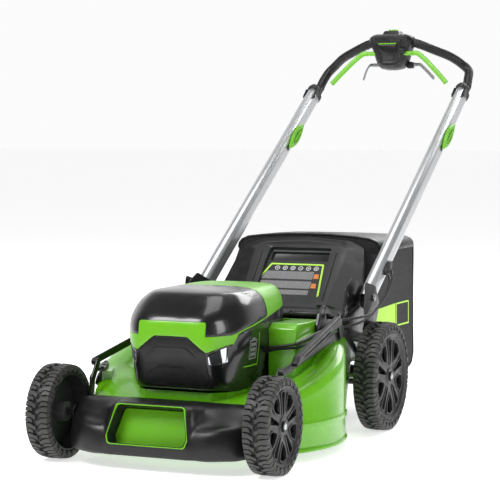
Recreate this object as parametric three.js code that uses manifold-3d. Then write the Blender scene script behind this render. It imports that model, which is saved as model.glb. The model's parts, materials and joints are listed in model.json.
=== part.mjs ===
// Battery-powered walk-behind rotary lawn mower with a rear bag, a side chute and a folding handle.
// Millimetres, +Z up, front towards -Y. Left is the operator's left, +X. Inside this file y is
// measured from the front wheels' axis, and the exported group moves the origin to the middle of
// the ground under the mower.
import * as THREE from "three";
import { mergeVertices } from "three/addons/utils/BufferGeometryUtils.js";
import Module from "manifold-3d";

const wasm = await Module();
wasm.setup();

// ---- driving dimensions ----
const ORIGIN_Y = 700.3; // from the front wheels' axis back to the part's origin
const GAP = 0.4; // between pieces that touch

const FRONT_WHEEL = { y: 0, radius: 101.6, outer: 277.4, width: 57, ring: 83.5 };
const REAR_WHEEL = { y: 624.5, radius: 127, outer: 288, width: 55, ring: 101.7 };
const WHEEL_FACETS = 24;
const AXLE_RADIUS = 8;
const CRANK = { dy: 60, dz: -25 }; // from a wheel's axis to its crank pivot
const LINK_PIN = { dy: 17.2, dz: 41.6 }; // from a crank pivot to its link pin
const PIN_RADIUS = 5;
const LEVER_SLOT = 7.2; // the lever's pin dips this far in the link at half travel

const DECK = { y: 286, radius: 280, bottom: 20, wall: 2.6 };
const SHOULDER = { base: 105, slope: 0.3, top: 226 };
const PLATFORM_Z = 149;
const TUNNEL_HALF = 198;
const TOWER_INNER = 134;
const BLADE_HALF = 258;
const SIDE_DOOR = { angle: THREE.MathUtils.degToRad(204), half: 54 }; // about the deck's centre

const FOLD = { y: 644, z: 308 }; // handle fold pivot
const HANDLE_SLOPE = THREE.MathUtils.degToRad(33.4);
const TUBE = { x: 216.6, length: 903, deep: 48, wide: 28.6, wall: 1.5 };
const LEG = { start: 573, radius: 12.3, n: -9.7 }; // n: from the lower tube's middle, across it
const DOOR_HINGE = { y: 650, z: 262 };
const DOOR_SLOPE = THREE.MathUtils.degToRad(48);
const LEVER_PIVOT = { y: 412.8, z: 284.6 };
const BOX_CENTRE = { y: 1447, z: 930 };

// ---- materials ----
const finish = (color, roughness, metalness) => () =>
  new THREE.MeshStandardMaterial({ color, roughness, metalness });
const greenPaint = finish("#6cc22f", 0.25, 0);
const greenPlastic = finish("#74c730", 0.35, 0);
const blackPlastic = finish("#2b2a2c", 0.5, 0);
const glossBlack = finish("#1d1d1f", 0.2, 0);
const rimPlastic = finish("#3b3a3d", 0.55, 0);
const tyreRubber = finish("#222223", 0.8, 0);
const aluminium = finish("#d3d5d7", 0.3, 0.9);
const blackSteel = finish("#242426", 0.45, 0.6);
const steel = finish("#9da1a5", 0.35, 0.9);
const lens = finish("#e8edf0", 0.1, 0);
const bagFabric = finish("#343336", 0.9, 0);
const greyPlastic = finish("#8f9094", 0.5, 0);

// ---- solids ----
const along = {
  x: new THREE.Matrix4().makeBasis(
    new THREE.Vector3(0, 1, 0), new THREE.Vector3(0, 0, 1), new THREE.Vector3(1, 0, 0)),
  y: new THREE.Matrix4().makeBasis(
    new THREE.Vector3(1, 0, 0), new THREE.Vector3(0, 0, 1), new THREE.Vector3(0, -1, 0)),
  z: new THREE.Matrix4(),
};

function signedVolume(geometry) {
  const p = geometry.attributes.position;
  const index = geometry.index;
  const [a, b, c] = [new THREE.Vector3(), new THREE.Vector3(), new THREE.Vector3()];
  let volume = 0;
  for (let i = 0; i < index.count; i += 3) {
    a.fromBufferAttribute(p, index.getX(i));
    b.fromBufferAttribute(p, index.getX(i + 1));
    c.fromBufferAttribute(p, index.getX(i + 2));
    volume += a.dot(b.cross(c)) / 6;
  }
  return volume;
}

function solid(source) {
  const bare = source.clone();
  for (const name of ["normal", "uv"]) bare.deleteAttribute(name);
  const geometry = mergeVertices(bare, 1e-3);
  const triVerts = new Uint32Array(geometry.index.array);
  if (signedVolume(geometry) < 0) triVerts.reverse();
  const vertProperties = new Float32Array(geometry.attributes.position.array);
  return new wasm.Manifold(new wasm.Mesh({ numProp: 3, vertProperties, triVerts }));
}

function toGeometry(body) {
  const mesh = body.getMesh();
  const geometry = new THREE.BufferGeometry();
  geometry.setAttribute("position", new THREE.BufferAttribute(mesh.vertProperties, 3));
  geometry.setIndex(new THREE.BufferAttribute(mesh.triVerts, 1));
  geometry.computeVertexNormals();
  return geometry;
}

const join = (...bodies) => bodies.reduce((a, b) => a.add(b));
const cut = (body, ...tools) => tools.reduce((a, b) => a.subtract(b), body);
const mirrored = (body) => solid(toGeometry(body).applyMatrix4(new THREE.Matrix4().makeScale(-1, 1, 1)));

// An outline swept straight: "x" takes (y, z) points, "y" takes (x, z), "z" takes (x, y).
function prism(axis, points, from, to, curveSegments = 6) {
  const shape = Array.isArray(points) ? new THREE.Shape(points.map(([u, v]) => new THREE.Vector2(u,
    v))) : points;
  const geometry = new THREE.ExtrudeGeometry(shape,
    { depth: to - from, bevelEnabled: false, curveSegments });
  geometry.applyMatrix4(along[axis]);
  const start = axis === "y" ? new THREE.Vector3(0, to, 0) : new THREE.Vector3();
  if (axis === "x") start.x = from;
  if (axis === "z") start.z = from;
  return solid(geometry.translate(start.x, start.y, start.z));
}

function box(x, y, z) {
  const geometry = new THREE.BoxGeometry(x[1] - x[0], y[1] - y[0], z[1] - z[0]);
  return solid(geometry.translate((x[0] + x[1]) / 2, (y[0] + y[1]) / 2, (z[0] + z[1]) / 2));
}

// A round bar along X or Z; at is [y, z] or [x, y].
function bar(axis, radius, at, from, to, sides = 16) {
  const geometry = new THREE.CylinderGeometry(radius, radius, to - from, sides);
  if (axis === "x") geometry.rotateZ(-Math.PI / 2).translate((from + to) / 2, at[0], at[1]);
  if (axis === "z") geometry.rotateX(Math.PI / 2).translate(at[0], at[1], (from + to) / 2);
  return solid(geometry);
}

// A closed profile of [x, r] points turned about the X axis, with a flat facet underneath.
function turned(profile, y, z, facets = WHEEL_FACETS) {
  const grow = 1 / Math.cos(Math.PI / facets);
  const points = profile.map(([x, r]) => new THREE.Vector2(r * grow, x));
  points.push(points[0].clone());
  const geometry = new THREE.LatheGeometry(points, facets, Math.PI / facets);
  return solid(geometry.rotateZ(-Math.PI / 2).translate(0, y, z));
}

// A skin through equal rings of points, closed at both ends.
function loft(rings) {
  const count = rings[0].length;
  const middle = (ring) => [0, 1, 2].map((k) => ring.reduce((sum, p) => sum + p[k], 0) / count);
  const vertices = [...rings.flat(), middle(rings[0]), middle(rings.at(-1))];
  const faces = [];
  for (let r = 0; r < rings.length - 1; r++) {
    for (let i = 0; i < count; i++) {
      const a = r * count + i;
      const b = r * count + ((i + 1) % count);
      faces.push(a, b, b + count, a, b + count, a + count);
    }
  }
  const first = rings.length * count;
  const last = (rings.length - 1) * count;
  for (let i = 0; i < count; i++) {
    const next = (i + 1) % count;
    faces.push(first, next, i, first + 1, last + i, last + next);
  }
  const geometry = new THREE.BufferGeometry();
  geometry.setAttribute("position", new THREE.Float32BufferAttribute(vertices.flat(), 3));
  geometry.setIndex(faces);
  return solid(geometry);
}

function sweep(section, points, steps) {
  const curve = new THREE.CatmullRomCurve3(points.map((p) => new THREE.Vector3(...p)), false,
    "centripetal");
  return solid(new THREE.ExtrudeGeometry(section, { steps, extrudePath: curve, curveSegments: 3 }));
}

function ellipse(deep, wide, count) {
  return Array.from({ length: count }, (_, i) => {
    const angle = (2 * Math.PI * i) / count;
    return [(wide / 2) * Math.cos(angle), (deep / 2) * Math.sin(angle)];
  });
}

// A flat-sided oval: straight sides deep - wide long, half-round ends.
function oval(deep, wide, perEnd = 8) {
  const straight = (deep - wide) / 2;
  return Array.from({ length: 2 * perEnd + 2 }, (_, i) => {
    const end = i <= perEnd ? 1 : -1;
    const angle = (Math.PI * (i <= perEnd ? i : i - 1)) / perEnd;
    return [(wide / 2) * Math.cos(angle), end * straight + (wide / 2) * Math.sin(angle)];
  });
}

// A strap between two (y, z) points with round ends.
function strap(a, b, radius, from, to) {
  const angle = Math.atan2(b[1] - a[1], b[0] - a[0]);
  const shape = new THREE.Shape();
  shape.absarc(a[0], a[1], radius, angle + Math.PI / 2, angle + (3 * Math.PI) / 2);
  shape.absarc(b[0], b[1], radius, angle - Math.PI / 2, angle + Math.PI / 2);
  return prism("x", shape, from, to, 3);
}

// ---- the assembly ----
const mower = new THREE.Group();
mower.position.y = -ORIGIN_Y;

function place(name, body, material, parent = mower) {
  const mesh = new THREE.Mesh(toGeometry(body), material());
  mesh.name = name;
  parent.add(mesh);
}

const SIDES = [["left", 1], ["right", -1]];
const onSide = (side, body) => (side > 0 ? body : mirrored(body));

// ---- wheels ----
function rimOpening(ring, angle, inner, outer, halfInner, halfOuter) {
  const corners = [[inner, -halfInner], [outer, -halfOuter], [outer, halfOuter], [inner, halfInner]];
  return corners.map(([r, half]) => {
    const at = angle + half / r;
    return [ring * r * Math.cos(at), ring * r * Math.sin(at)];
  });
}

function rim(wheel) {
  const { y, radius, outer, width, ring } = wheel;
  const disc = turned([[outer - 15, 0], [outer - 15, ring - 3], [outer - 8, ring - 3], [outer - 8, 0]], y,
    radius);
  const barrel = turned([
    [outer - width + 2, ring - 5], [outer - width + 2, ring], [outer - 1.5, ring], [outer - 4, ring - 5],
  ], y, radius);
  const hub = bar("x", 21, [y, radius], outer - 48, outer - 8, 16);
  const openings = [];
  for (let k = 0; k < 5; k++) {
    const turn = (2 * Math.PI * k) / 5 + Math.PI / 2;
    openings.push(rimOpening(ring, turn, 0.34, 0.86, 0.045, 0.14));
    openings.push(rimOpening(ring, turn + Math.PI / 5, 0.45, 0.86, 0.1, 0.17));
  }
  const holes = openings.map((points) => {
    const placed = points.map(([u, v]) => [y + u, radius + v]);
    return prism("x", placed, outer - 20, outer - 5);
  });
  return cut(join(cut(disc, ...holes), barrel, hub),
    bar("x", AXLE_RADIUS + 0.4, [y, radius], outer - 60, outer + 5));
}

function tyre(wheel) {
  const { y, radius, outer, width, ring } = wheel;
  const inner = outer - width;
  const foot = ring + GAP;
  return turned([
    [inner, foot], [inner, radius - 7], [inner + 7, radius], [outer - 7, radius], [outer, radius - 7],
      [outer, foot],
  ], y, radius);
}

function wheelNut({ y, radius, outer }) {
  const nut = bar("x", 12, [y, radius], outer - 7.6, outer - 0.6, 6);
  return cut(nut, bar("x", AXLE_RADIUS + GAP, [y, radius], outer - 10, outer + 2));
}

for (const [end, wheel] of [["front", FRONT_WHEEL], ["rear", REAR_WHEEL]]) {
  for (const [name, side] of SIDES) {
    place(`${end}_tyre_${name}`, onSide(side, tyre(wheel)), tyreRubber);
    place(`${end}_rim_${name}`, onSide(side, rim(wheel)), rimPlastic);
    place(`${end}_nut_${name}`, onSide(side, wheelNut(wheel)), steel);
  }
}

// ---- height adjustment: cranks, rear axle, links and lever ----
const pivotOf = ({ y, radius }) => [y + CRANK.dy, radius + CRANK.dz];
const pinOf = (wheel) => {
  const [y, z] = pivotOf(wheel);
  return [y + LINK_PIN.dy, z + LINK_PIN.dz];
};

function crank(wheel, plate, stubEnd) {
  const hub = [wheel.y, wheel.radius];
  const pivot = pivotOf(wheel);
  const pin = pinOf(wheel);
  const arms = join(strap(pivot, hub, 15, ...plate), strap(pivot, pin, 11, ...plate));
  const stub = bar("x", AXLE_RADIUS, hub, plate[0] + 1, stubEnd);
  return join(arms, stub, bar("x", PIN_RADIUS, pin, plate[0] + 1, plate[1] + 5.5, 12));
}

const FRONT_PLATE = [206, 212];
const REAR_PLATE = [212, 218];
for (const [name, side] of SIDES) {
  const plate = crank(FRONT_WHEEL, FRONT_PLATE, FRONT_WHEEL.outer - 1);
  const pivotPin = bar("x", 7, pivotOf(FRONT_WHEEL), 187, FRONT_PLATE[0] + 1, 12);
  place(`front_crank_${name}`, onSide(side, join(plate, pivotPin)), blackSteel);
}
const rearCrank = crank(REAR_WHEEL, REAR_PLATE, REAR_WHEEL.outer - 1);
const rearRod = bar("x", AXLE_RADIUS, pivotOf(REAR_WHEEL), -REAR_PLATE[0] - 1, REAR_PLATE[0] + 1);
place("rear_axle", join(rearCrank, mirrored(rearCrank), rearRod), blackSteel);

function link() {
  const front = pinOf(FRONT_WHEEL);
  const rear = pinOf(REAR_WHEEL);
  const near = [213, 217];
  const far = [224, 228];
  const kneeLow = [88, 162];
  const knee = [112, 196];
  const leverPin = [LEVER_PIVOT.y + LINK_PIN.dy, LEVER_PIVOT.z - LINK_PIN.dz];
  const rearKnee = [478, 240];
  const slotEnd = [leverPin[0], leverPin[1] - LEVER_SLOT];
  const bars = join(
    strap(front, kneeLow, 8, ...near),
    strap(kneeLow, knee, 8, ...near),
    bar("x", 8, knee, near[0], far[1]),
    strap(knee, leverPin, 8, ...far),
    strap(leverPin, rearKnee, 8, ...far),
    strap(leverPin, slotEnd, 8.4, ...far),
    strap(rearKnee, [590, 160], 8, ...far),
    strap([590, 160], rear, 8, ...far),
    bar("x", 9, rear, 219, far[1]),
  );
  const slot = strap(leverPin, slotEnd, PIN_RADIUS + 0.7, 222, 230);
  return cut(bars, slot, bar("x", PIN_RADIUS + 0.6, front, 200, 218, 12),
    bar("x", PIN_RADIUS + 0.6, rear, 200, 224, 12));
}
for (const [name, side] of SIDES) place(`height_link_${name}`, onSide(side, link()), blackSteel);

function heightLever() {
  const pivot = [LEVER_PIVOT.y, LEVER_PIVOT.z];
  const pin = [LEVER_PIVOT.y + LINK_PIN.dy, LEVER_PIVOT.z - LINK_PIN.dz];
  const plate = join(strap(pivot, pin, 13, 230, 235), strap([394, 275], pivot, 13, 230, 235));
  const grip = prism("x", [[398, 290], [408, 268], [142, 203], [139, 212], [152, 226]], 230, 246);
  const pivotPin = bar("x", 6, pivot, 207, 231, 12);
  return join(plate, grip, pivotPin, bar("x", PIN_RADIUS, pin, 225, 231, 12));
}
place("height_lever", heightLever(), blackPlastic);

function heightQuadrant() {
  const plate = prism("x", [[330, 236], [330, 285], [352, 318], [392, 328], [440, 300], [446, 236]], 198.5,
    206);
  return cut(plate, bar("x", 6.6, [LEVER_PIVOT.y, LEVER_PIVOT.z], 190, 210, 12));
}

// ---- deck ----
const shoulderZ = (y) => Math.min(SHOULDER.base + SHOULDER.slope * y, SHOULDER.top);
const DECK_STEPS = 36;

function deckRing(radius, height) {
  return Array.from({ length: DECK_STEPS }, (_, i) => {
    const angle = (2 * Math.PI * i) / DECK_STEPS;
    const x = radius * Math.cos(angle);
    const y = DECK.y + radius * Math.sin(angle);
    return [x, y, typeof height === "function" ? height(y) : height];
  });
}

const TUNNEL = [
  [245, 90], [245, 270], [257, 282], [400, 278], [625, 246], [640, 165], [590, 158], [560, 60], [500, 40],
    [400, 60],
];
const WALL = DECK.wall;
const TUNNEL_INSIDE = [
  [245 + WALL, 80], [245 + WALL, 269], [258, 282 - WALL], [400, 278 - WALL], [660, 241 - WALL],
    [660, 165 + WALL + 2],
  [590 - WALL, 158 + WALL], [560 - WALL, 60], [500, 20], [400, 20],
];

function deckPlan(inset) {
  return [[-80 + inset, 66 + inset], [-108 + inset, 95], [-122 + inset, 150], [-122 + inset, 260],
    [122 - inset, 260], [122 - inset, 150], [108 - inset, 95], [80 - inset, 66 + inset]];
}

// A block facing the side door: sizes along the radius, across it and upwards.
function sideBlock(radial, across, up, radius, z) {
  const geometry = new THREE.BoxGeometry(radial, across, up);
  return solid(geometry.translate(radius, 0, z).rotateZ(SIDE_DOOR.angle).translate(0, DECK.y, 0));
}

function deck() {
  const { radius, bottom } = DECK;
  const top = (y) => Math.min(shoulderZ(y) + 4, PLATFORM_Z - 3);
  const drum = loft([
    deckRing(radius + 4, bottom), deckRing(radius + 4, bottom + 4), deckRing(radius, bottom + 9),
    deckRing(radius, 70), deckRing(radius + 3, 74), deckRing(radius + 3, 80), deckRing(radius, 84),
    deckRing(radius, (y) => shoulderZ(y) - 14), deckRing(radius - 10, shoulderZ), deckRing(150, top),
  ]);
  const inside = loft([
    deckRing(radius - WALL, bottom - 10), deckRing(radius - WALL, (y) => shoulderZ(y) - 15 - WALL),
    deckRing(radius - 11, (y) => shoulderZ(y) - WALL), deckRing(150, (y) => top(y) - WALL),
  ]);
  const tunnel = prism("x", TUNNEL, -TUNNEL_HALF, TUNNEL_HALF);
  const pocket = box([-TOWER_INNER, TOWER_INNER], [200, 405], [PLATFORM_Z, 400]);
  const platform = prism("z", deckPlan(3), 100, PLATFORM_Z);
  const tower = box([TOWER_INNER + WALL, TUNNEL_HALF - WALL], [245 + WALL, 404], [100, 400]);
  const duct = box([-TUNNEL_HALF + WALL, TUNNEL_HALF - WALL], [405 + WALL, 700], [0, 400]);
  const bay = join(tower, mirrored(tower),
    duct).intersect(prism("x", TUNNEL_INSIDE, -TUNNEL_HALF, TUNNEL_HALF));
  const throat = box([-TUNNEL_HALF + WALL, TUNNEL_HALF - WALL], [250, 555], [40, PLATFORM_Z - 3 - WALL]);
  const platformInside = prism("z", deckPlan(3 + WALL), 90, PLATFORM_Z - WALL);
  const corner = box([150, 202], [38, 84], [58, 112]);
  const rodPlate = prism("x", [[630, 166], [638, 186], [650, 168], [706, 126], [706, 86], [664, 84],
    [652, 120], [640, 150]], TUNNEL_HALF - 4, TUNNEL_HALF);
  const frontPin = bar("x", 7.5, pivotOf(FRONT_WHEEL), 184, 210, 12);
  const rearHole = bar("x", AXLE_RADIUS + 0.5, pivotOf(REAR_WHEEL), 150, 220);
  const doorLug = sideBlock(22, 80, 22, 250, 160);
  const body = join(cut(join(drum, tunnel), pocket), platform, corner, mirrored(corner), doorLug);
  const shell = cut(body, inside, bay, throat, platformInside);
  const holes = [frontPin, mirrored(frontPin), rearHole, mirrored(rearHole),
    sideBlock(60, 2 * SIDE_DOOR.half - 10, 56, DECK.radius, 112),
    bar("z", 12, [0, DECK.y], 100, 160, 16)];
  return cut(join(shell, rodPlate, mirrored(rodPlate)), ...holes);
}
place("deck_shell", deck(), greenPaint);
place("height_quadrant", heightQuadrant(), blackSteel);

// ---- side discharge door ----
function sideDoor() {
  const profile = [[DECK.radius + 7, 86], [DECK.radius + 7, 163], [268, 179], [258, 182], [252, 178],
    [266, 173.5],
    [DECK.radius + 4, 163], [DECK.radius + 4, 86]];
  const shape = new THREE.Shape(profile.map(([r, z]) => new THREE.Vector2(r, z)));
  const geometry = new THREE.ExtrudeGeometry(shape, { depth: 2 * SIDE_DOOR.half, bevelEnabled: false });
  geometry.applyMatrix4(along.y).translate(0, SIDE_DOOR.half, 0);
  return solid(geometry.rotateZ(SIDE_DOOR.angle).translate(0, DECK.y, 0));
}
place("side_discharge_door", sideDoor(), blackPlastic);

// ---- front bumper ----
const RECESS_TILT = Math.atan2(20, 65);

function recessPlug(grow, depth, proud) {
  const outline = [[-73, 34], [73, 34], [88, -20], [84, -34], [-84, -34], [-88, -20]].map(([u, v]) => [
    u + Math.sign(u) * grow, v + Math.sign(v) * grow]);
  const shape = new THREE.Shape(outline.map(([u, v]) => new THREE.Vector2(u, v)));
  const geometry = new THREE.ExtrudeGeometry(shape, { depth: depth + proud, bevelEnabled: false });
  geometry.applyMatrix4(along.y).translate(0, depth, 0);
  return solid(geometry.rotateX(-RECESS_TILT).translate(0, -69, 95.5));
}

function bumper() {
  const half = 202;
  const body = prism("x", [[44, 118], [44, 132], [0, 133], [-45, 104], [-78, 88], [-80, 34], [-72, 31],
    [-50, 31]], -half, half);
  const bulge = loft([
    [[-100, -30, 31], [-96, -79, 31], [96, -79, 31], [100, -30, 31]],
    [[-98, -30, 60], [-94, -84, 60], [94, -84, 60], [98, -30, 60]],
    [[-90, -25, 134], [-82, -59, 134], [82, -59, 134], [90, -25, 134]],
    [[-84, 0, 138], [-76, -48, 138], [76, -48, 138], [84, 0, 138]],
  ]);
  const inner = prism("x", [[48, 100], [48, 128], [1, 129], [-43, 100], [-74, 85], [-76, 36], [-76, 20],
    [-40, 20]], -half + 4, half - 4);
  const bulgeInside = loft([
    [[-96, -26, 25], [-92, -75, 25], [92, -75, 25], [96, -26, 25]],
    [[-94, -26, 60], [-90, -80, 60], [90, -80, 60], [94, -26, 60]],
    [[-86, -22, 130], [-79, -55, 130], [79, -55, 130], [86, -22, 130]],
  ]);
  const nose = cut(join(body, bulge), inner, bulgeInside, recessPlug(1, 60, 20));
  const cornerCut = prism("z", [[150, -90], [210, -90], [210, -20], [200, -46], [182, -72]], 20, 160);
  const deckRoom = loft([deckRing(DECK.radius + 5, 0), deckRing(DECK.radius + 5, 100),
    deckRing(DECK.radius + 2, shoulderZ),
    deckRing(150, 160)]);
  const crankRoom = box([173, 220], [30, 95], [50, 125]);
  return cut(nose, cornerCut, mirrored(cornerCut), deckRoom, crankRoom, mirrored(crankRoom));
}
place("front_bumper", bumper(), blackPlastic);

function gripInsert() {
  const tray = cut(recessPlug(0.4, 34, 3), recessPlug(-4, 30, 20));
  return tray;
}
place("bumper_grip_insert", gripInsert(), greenPlastic);

// ---- hood ----
// Each level of the hood: height, front [half width, y], corner, shoulder, side [half width, y] ..., rear.
const HOOD_LEVELS = [
  [150, [82, 66], [108, 92], [121, 140], [121, 262], [100, 368], [72, 386]],
  [160, [84, 58], [110, 88], [123, 136], [123, 262], [101, 369], [73, 388]],
  [200, [84, 45], [113, 84], [128, 130], [128, 262], [108, 371], [77, 392]],
  [237, [82, 37], [115, 80], [132, 122], [132, 262], [111, 373], [80, 396]],
  [277, [79, 39], [118, 80], [134, 116], [133, 262], [113, 375], [82, 400]],
  [302, [77, 44], [115, 84], [132, 120], [129, 262], [112, 377], [82, 402]],
  [335, [77, 80], [107, 112], [120, 140], [118, 262], [105, 380], [79, 402]],
  [350, [75, 99], [96, 124], [106, 148], [105, 262], [96, 380], [72, 399]],
  [358, [66, 114], [82, 138], [90, 158], [89, 262], [84, 374], [64, 390]],
  [361, [40, 150], [50, 162], [56, 176], [56, 262], [52, 350], [40, 366]],
];

function hoodBody(inset) {
  const middleY = 225;
  return loft(HOOD_LEVELS.map(([z, ...points], level) => {
    const moved = points.map(([x, y]) => [x * (1 - inset / 120),
      middleY + (y - middleY) * (1 - inset / 175)]);
    const left = moved.map(([x, y]) => [x, y]);
    const right = moved.map(([x, y]) => [-x, y]).reverse();
    const lowered = inset === 0 ? z : level === 0 ? z - 10 : z - inset;
    return [...left, ...right].map(([x, y]) => [x, y, lowered]);
  }));
}

const hoodSkin = cut(hoodBody(0), hoodBody(3));
const LID_EDGE = [[62, 267], [117, 283], [246, 299], [256, 372]];
const BAND_EDGE = [[86, 251], [98, 271], [240, 293], [430, 318]];

function lidRegion(gap) {
  const [low, notch, rear, top] = LID_EDGE;
  const side = prism("x", [[-50, low[1] + gap], [low[0], low[1] + gap], [notch[0], notch[1] + gap],
    [rear[0] - gap, rear[1] + gap], [top[0] - gap, top[1]], [-50, 372]], -200, 200);
  return cut(side, box([-78 - gap, 78 + gap], [-50, 66], [150, 301 + gap]));
}

function lowerRegion(gap) {
  const z = (value) => value - gap;
  const front = prism("y", [[-200, 100], [-200, z(262)], [-118, z(253)], [-81, z(237)], [-39, z(270)],
    [39, z(270)],
    [81, z(237)], [118, z(253)], [200, z(262)], [200, 100]], -50, 86);
  const side = prism("x", [[86, 100], ...BAND_EDGE.map(([y, height]) => [y, z(height)]), [430, 100]], -200,
    200);
  return join(front, side);
}

function grilleRegion(grow) {
  const outline = [[-38, 268], [38, 268], [79, 236], [81, 164], [-81, 164], [-79, 236]];
  return prism("y", outline.map(([x, z]) => [x + Math.sign(x) * grow, z + (z > 200 ? grow : -grow)]), -50,
    76);
}

function lensRegion(grow) {
  return prism("y", [[86 - grow, 210 - grow], [86 - grow, 232 + grow], [112 + grow, 246 + grow],
    [112 + grow, 216 - grow]], -50, 110);
}

const lid = hoodSkin.intersect(lidRegion(0.5));
place("battery_lid", lid, glossBlack);

const band = cut(hoodSkin, lidRegion(0), lowerRegion(0));
place("hood_band", band, greenPlastic);

const lowerSkin = hoodSkin.intersect(lowerRegion(0.5));
const lensCuts = [lensRegion(0.4), mirrored(lensRegion(0.4))];
place("hood_shell", cut(lowerSkin, grilleRegion(0.5), ...lensCuts), glossBlack);
for (const [name, side] of SIDES) {
  place(`headlight_${name}`, onSide(side, lowerSkin.intersect(lensRegion(0))), lens);
}

function grilleRib(z) {
  const outline = [[-48, z], [-34, z + 9], [34, z + 9], [48, z], [48, z - 4], [34, z + 4], [-34, z + 4],
    [-48, z - 4]];
  return prism("y", outline, 30, 60);
}

function grille() {
  const face = lowerSkin.intersect(grilleRegion(0));
  const proud = cut(hoodBody(-2), hoodBody(2));
  return join(face, grilleRib(232).intersect(proud), grilleRib(196).intersect(proud));
}
place("hood_grille", grille(), blackPlastic);

// ---- power: motor, battery, key, blade ----
function motorHousing() {
  const outline = [[0, PLATFORM_Z + GAP], [66, PLATFORM_Z + GAP], [66, 158], [58, 166], [58, 200],
    [50, 206], [0, 206]];
  const geometry = new THREE.LatheGeometry(outline.map(([r, z]) => new THREE.Vector2(r, z)), 28);
  const can = solid(geometry.rotateX(Math.PI / 2).translate(0, DECK.y, 0));
  return cut(can, bar("z", 9.5, [0, DECK.y], 140, 190));
}
place("blade_motor", motorHousing(), blackSteel);

function batteryBay() {
  const tub = box([-66, 66], [108, 240], [216, 318]);
  return cut(tub, box([-62, 62], [112, 236], [220, 340]));
}
place("battery_bay", batteryBay(), blackPlastic);

function batteryPack() {
  const body = box([-58, 58], [134, 232], [221, 326]);
  const handle = cut(box([-30, 30], [176, 192], [325, 336]), box([-22, 22], [170, 200], [320, 331]));
  return join(body, handle);
}
place("battery_pack", batteryPack(), blackPlastic);

function safetyKey() {
  return join(box([-12, 12], [119, 125], [240, 312]), box([-16, 16], [116, 128], [311, 324]));
}
place("safety_key", safetyKey(), greenPlastic);

function motorShaft() {
  const shaft = bar("z", 9, [0, DECK.y], 67, 188);
  return join(shaft, bar("z", 26, [0, DECK.y], 67, 79, 20));
}
place("motor_shaft", motorShaft(), steel);

function blade() {
  const outline = [];
  for (const end of [1, -1]) {
    outline.push([end * -60, end * 30], [end * (BLADE_HALF - 8), end * 27], [end * BLADE_HALF, end * -20],
      [end * 120, end * -30]);
  }
  const flat = prism("z", outline.map(([x, y]) => [x, y + DECK.y]), 61, 66);
  const sail = prism("y", [[150, 65], [200, 65], [250, 65], [250, 74], [200, 70]], DECK.y + 12,
    DECK.y + 26);
  const turnedSail = solid(toGeometry(sail).translate(0, -DECK.y, 0).rotateZ(Math.PI).translate(0, DECK.y,
    0));
  return cut(join(flat, sail, turnedSail), bar("z", 6.4, [0, DECK.y], 50, 80, 12));
}
place("cutting_blade", blade(), steel);

function bladeBolt() {
  return join(bar("z", 6, [0, DECK.y], 58, 66.5, 12), bar("z", 15, [0, DECK.y], 50, 60.4, 6));
}
place("blade_bolt", bladeBolt(), steel);

// ---- rear drive ----
function driveGearbox() {
  const { y, radius } = REAR_WHEEL;
  const motor = turned([[-92, 0], [-92, 26], [-30, 28], [10, 28], [30, 22], [60, 22], [60, 0]], y,
    radius - 4, 20);
  const pivot = pivotOf(REAR_WHEEL);
  const arm = prism("x", [[y, radius - 20], [y, radius], [pivot[0], pivot[1] + 14],
    [pivot[0] + 14, pivot[1]],
    [pivot[0], pivot[1] - 14]], -20, 20);
  return cut(join(motor, arm), bar("x", AXLE_RADIUS + GAP, pivot, -40, 40),
    bar("x", 7, [y, radius - 4], -100, 100, 12));
}
place("drive_gearbox", driveGearbox(), blackPlastic);
place("drive_shaft", bar("x", 6.5, [REAR_WHEEL.y, REAR_WHEEL.radius - 4], -206, 206, 12), steel);

// ---- rear chute insert, door and bag ----
function chuteInsert() {
  const outer = prism("x", [[596, 164.5], [596, 245.6], [626, 241.2], [672, 238], [700, 205], [700, 172],
    [640, 170]], -193.4, 193.4);
  const inner = prism("x", [[590, 170], [590, 242], [626, 238], [670, 235], [697, 204], [720, 204],
    [720, 173], [640, 173]], -190, 190);
  const ear = cut(box([184, 190], [640, 660], [236, 272]),
    bar("x", 4.4, [DOOR_HINGE.y, DOOR_HINGE.z], 170, 200, 12));
  return join(cut(outer, inner), ear, mirrored(ear));
}
place("rear_chute", chuteInsert(), blackPlastic);
place("door_hinge_rod", bar("x", 4, [DOOR_HINGE.y, DOOR_HINGE.z], -193, 193, 12), steel);

// The door lies along its slope: u across, v up the slope from the hinge, n out of its face.
function onDoor(outline, from, to) {
  const shape = new THREE.Shape(outline.map(([u, v]) => new THREE.Vector2(u, v)));
  const geometry = new THREE.ExtrudeGeometry(shape, { depth: to - from, bevelEnabled: false }).translate(0,
    0, from);
  return solid(geometry.rotateX(DOOR_SLOPE).translate(0, DOOR_HINGE.y, DOOR_HINGE.z));
}

function rearDoor() {
  const plate = onDoor([[-182, 4], [182, 4], [186, 56], [150, 190], [112, 216], [40, 224], [-40, 224],
    [-112, 216],
    [-150, 190], [-186, 56]], -8, 8);
  const pocket = onDoor([[-84, 60], [84, 60], [84, 196], [-84, 196]], 3, 30);
  const arch = cut(onDoor([[-118, 40], [118, 40], [108, 206], [-108, 206]], 7, 14),
    onDoor([[-90, 30], [90, 30], [90, 180], [-90, 180]], 0, 30));
  const barrel = bar("x", 8, [DOOR_HINGE.y, DOOR_HINGE.z], -182, 182);
  return cut(join(cut(plate, pocket), arch, barrel),
    bar("x", 4.5, [DOOR_HINGE.y, DOOR_HINGE.z], -200, 200, 12));
}
place("rear_door", rearDoor(), blackPlastic);

const BAG_TOP = [[-187, 403], [-180, 423], [-148, 434], [0, 449], [148, 434], [180, 423], [187, 403]];

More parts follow.
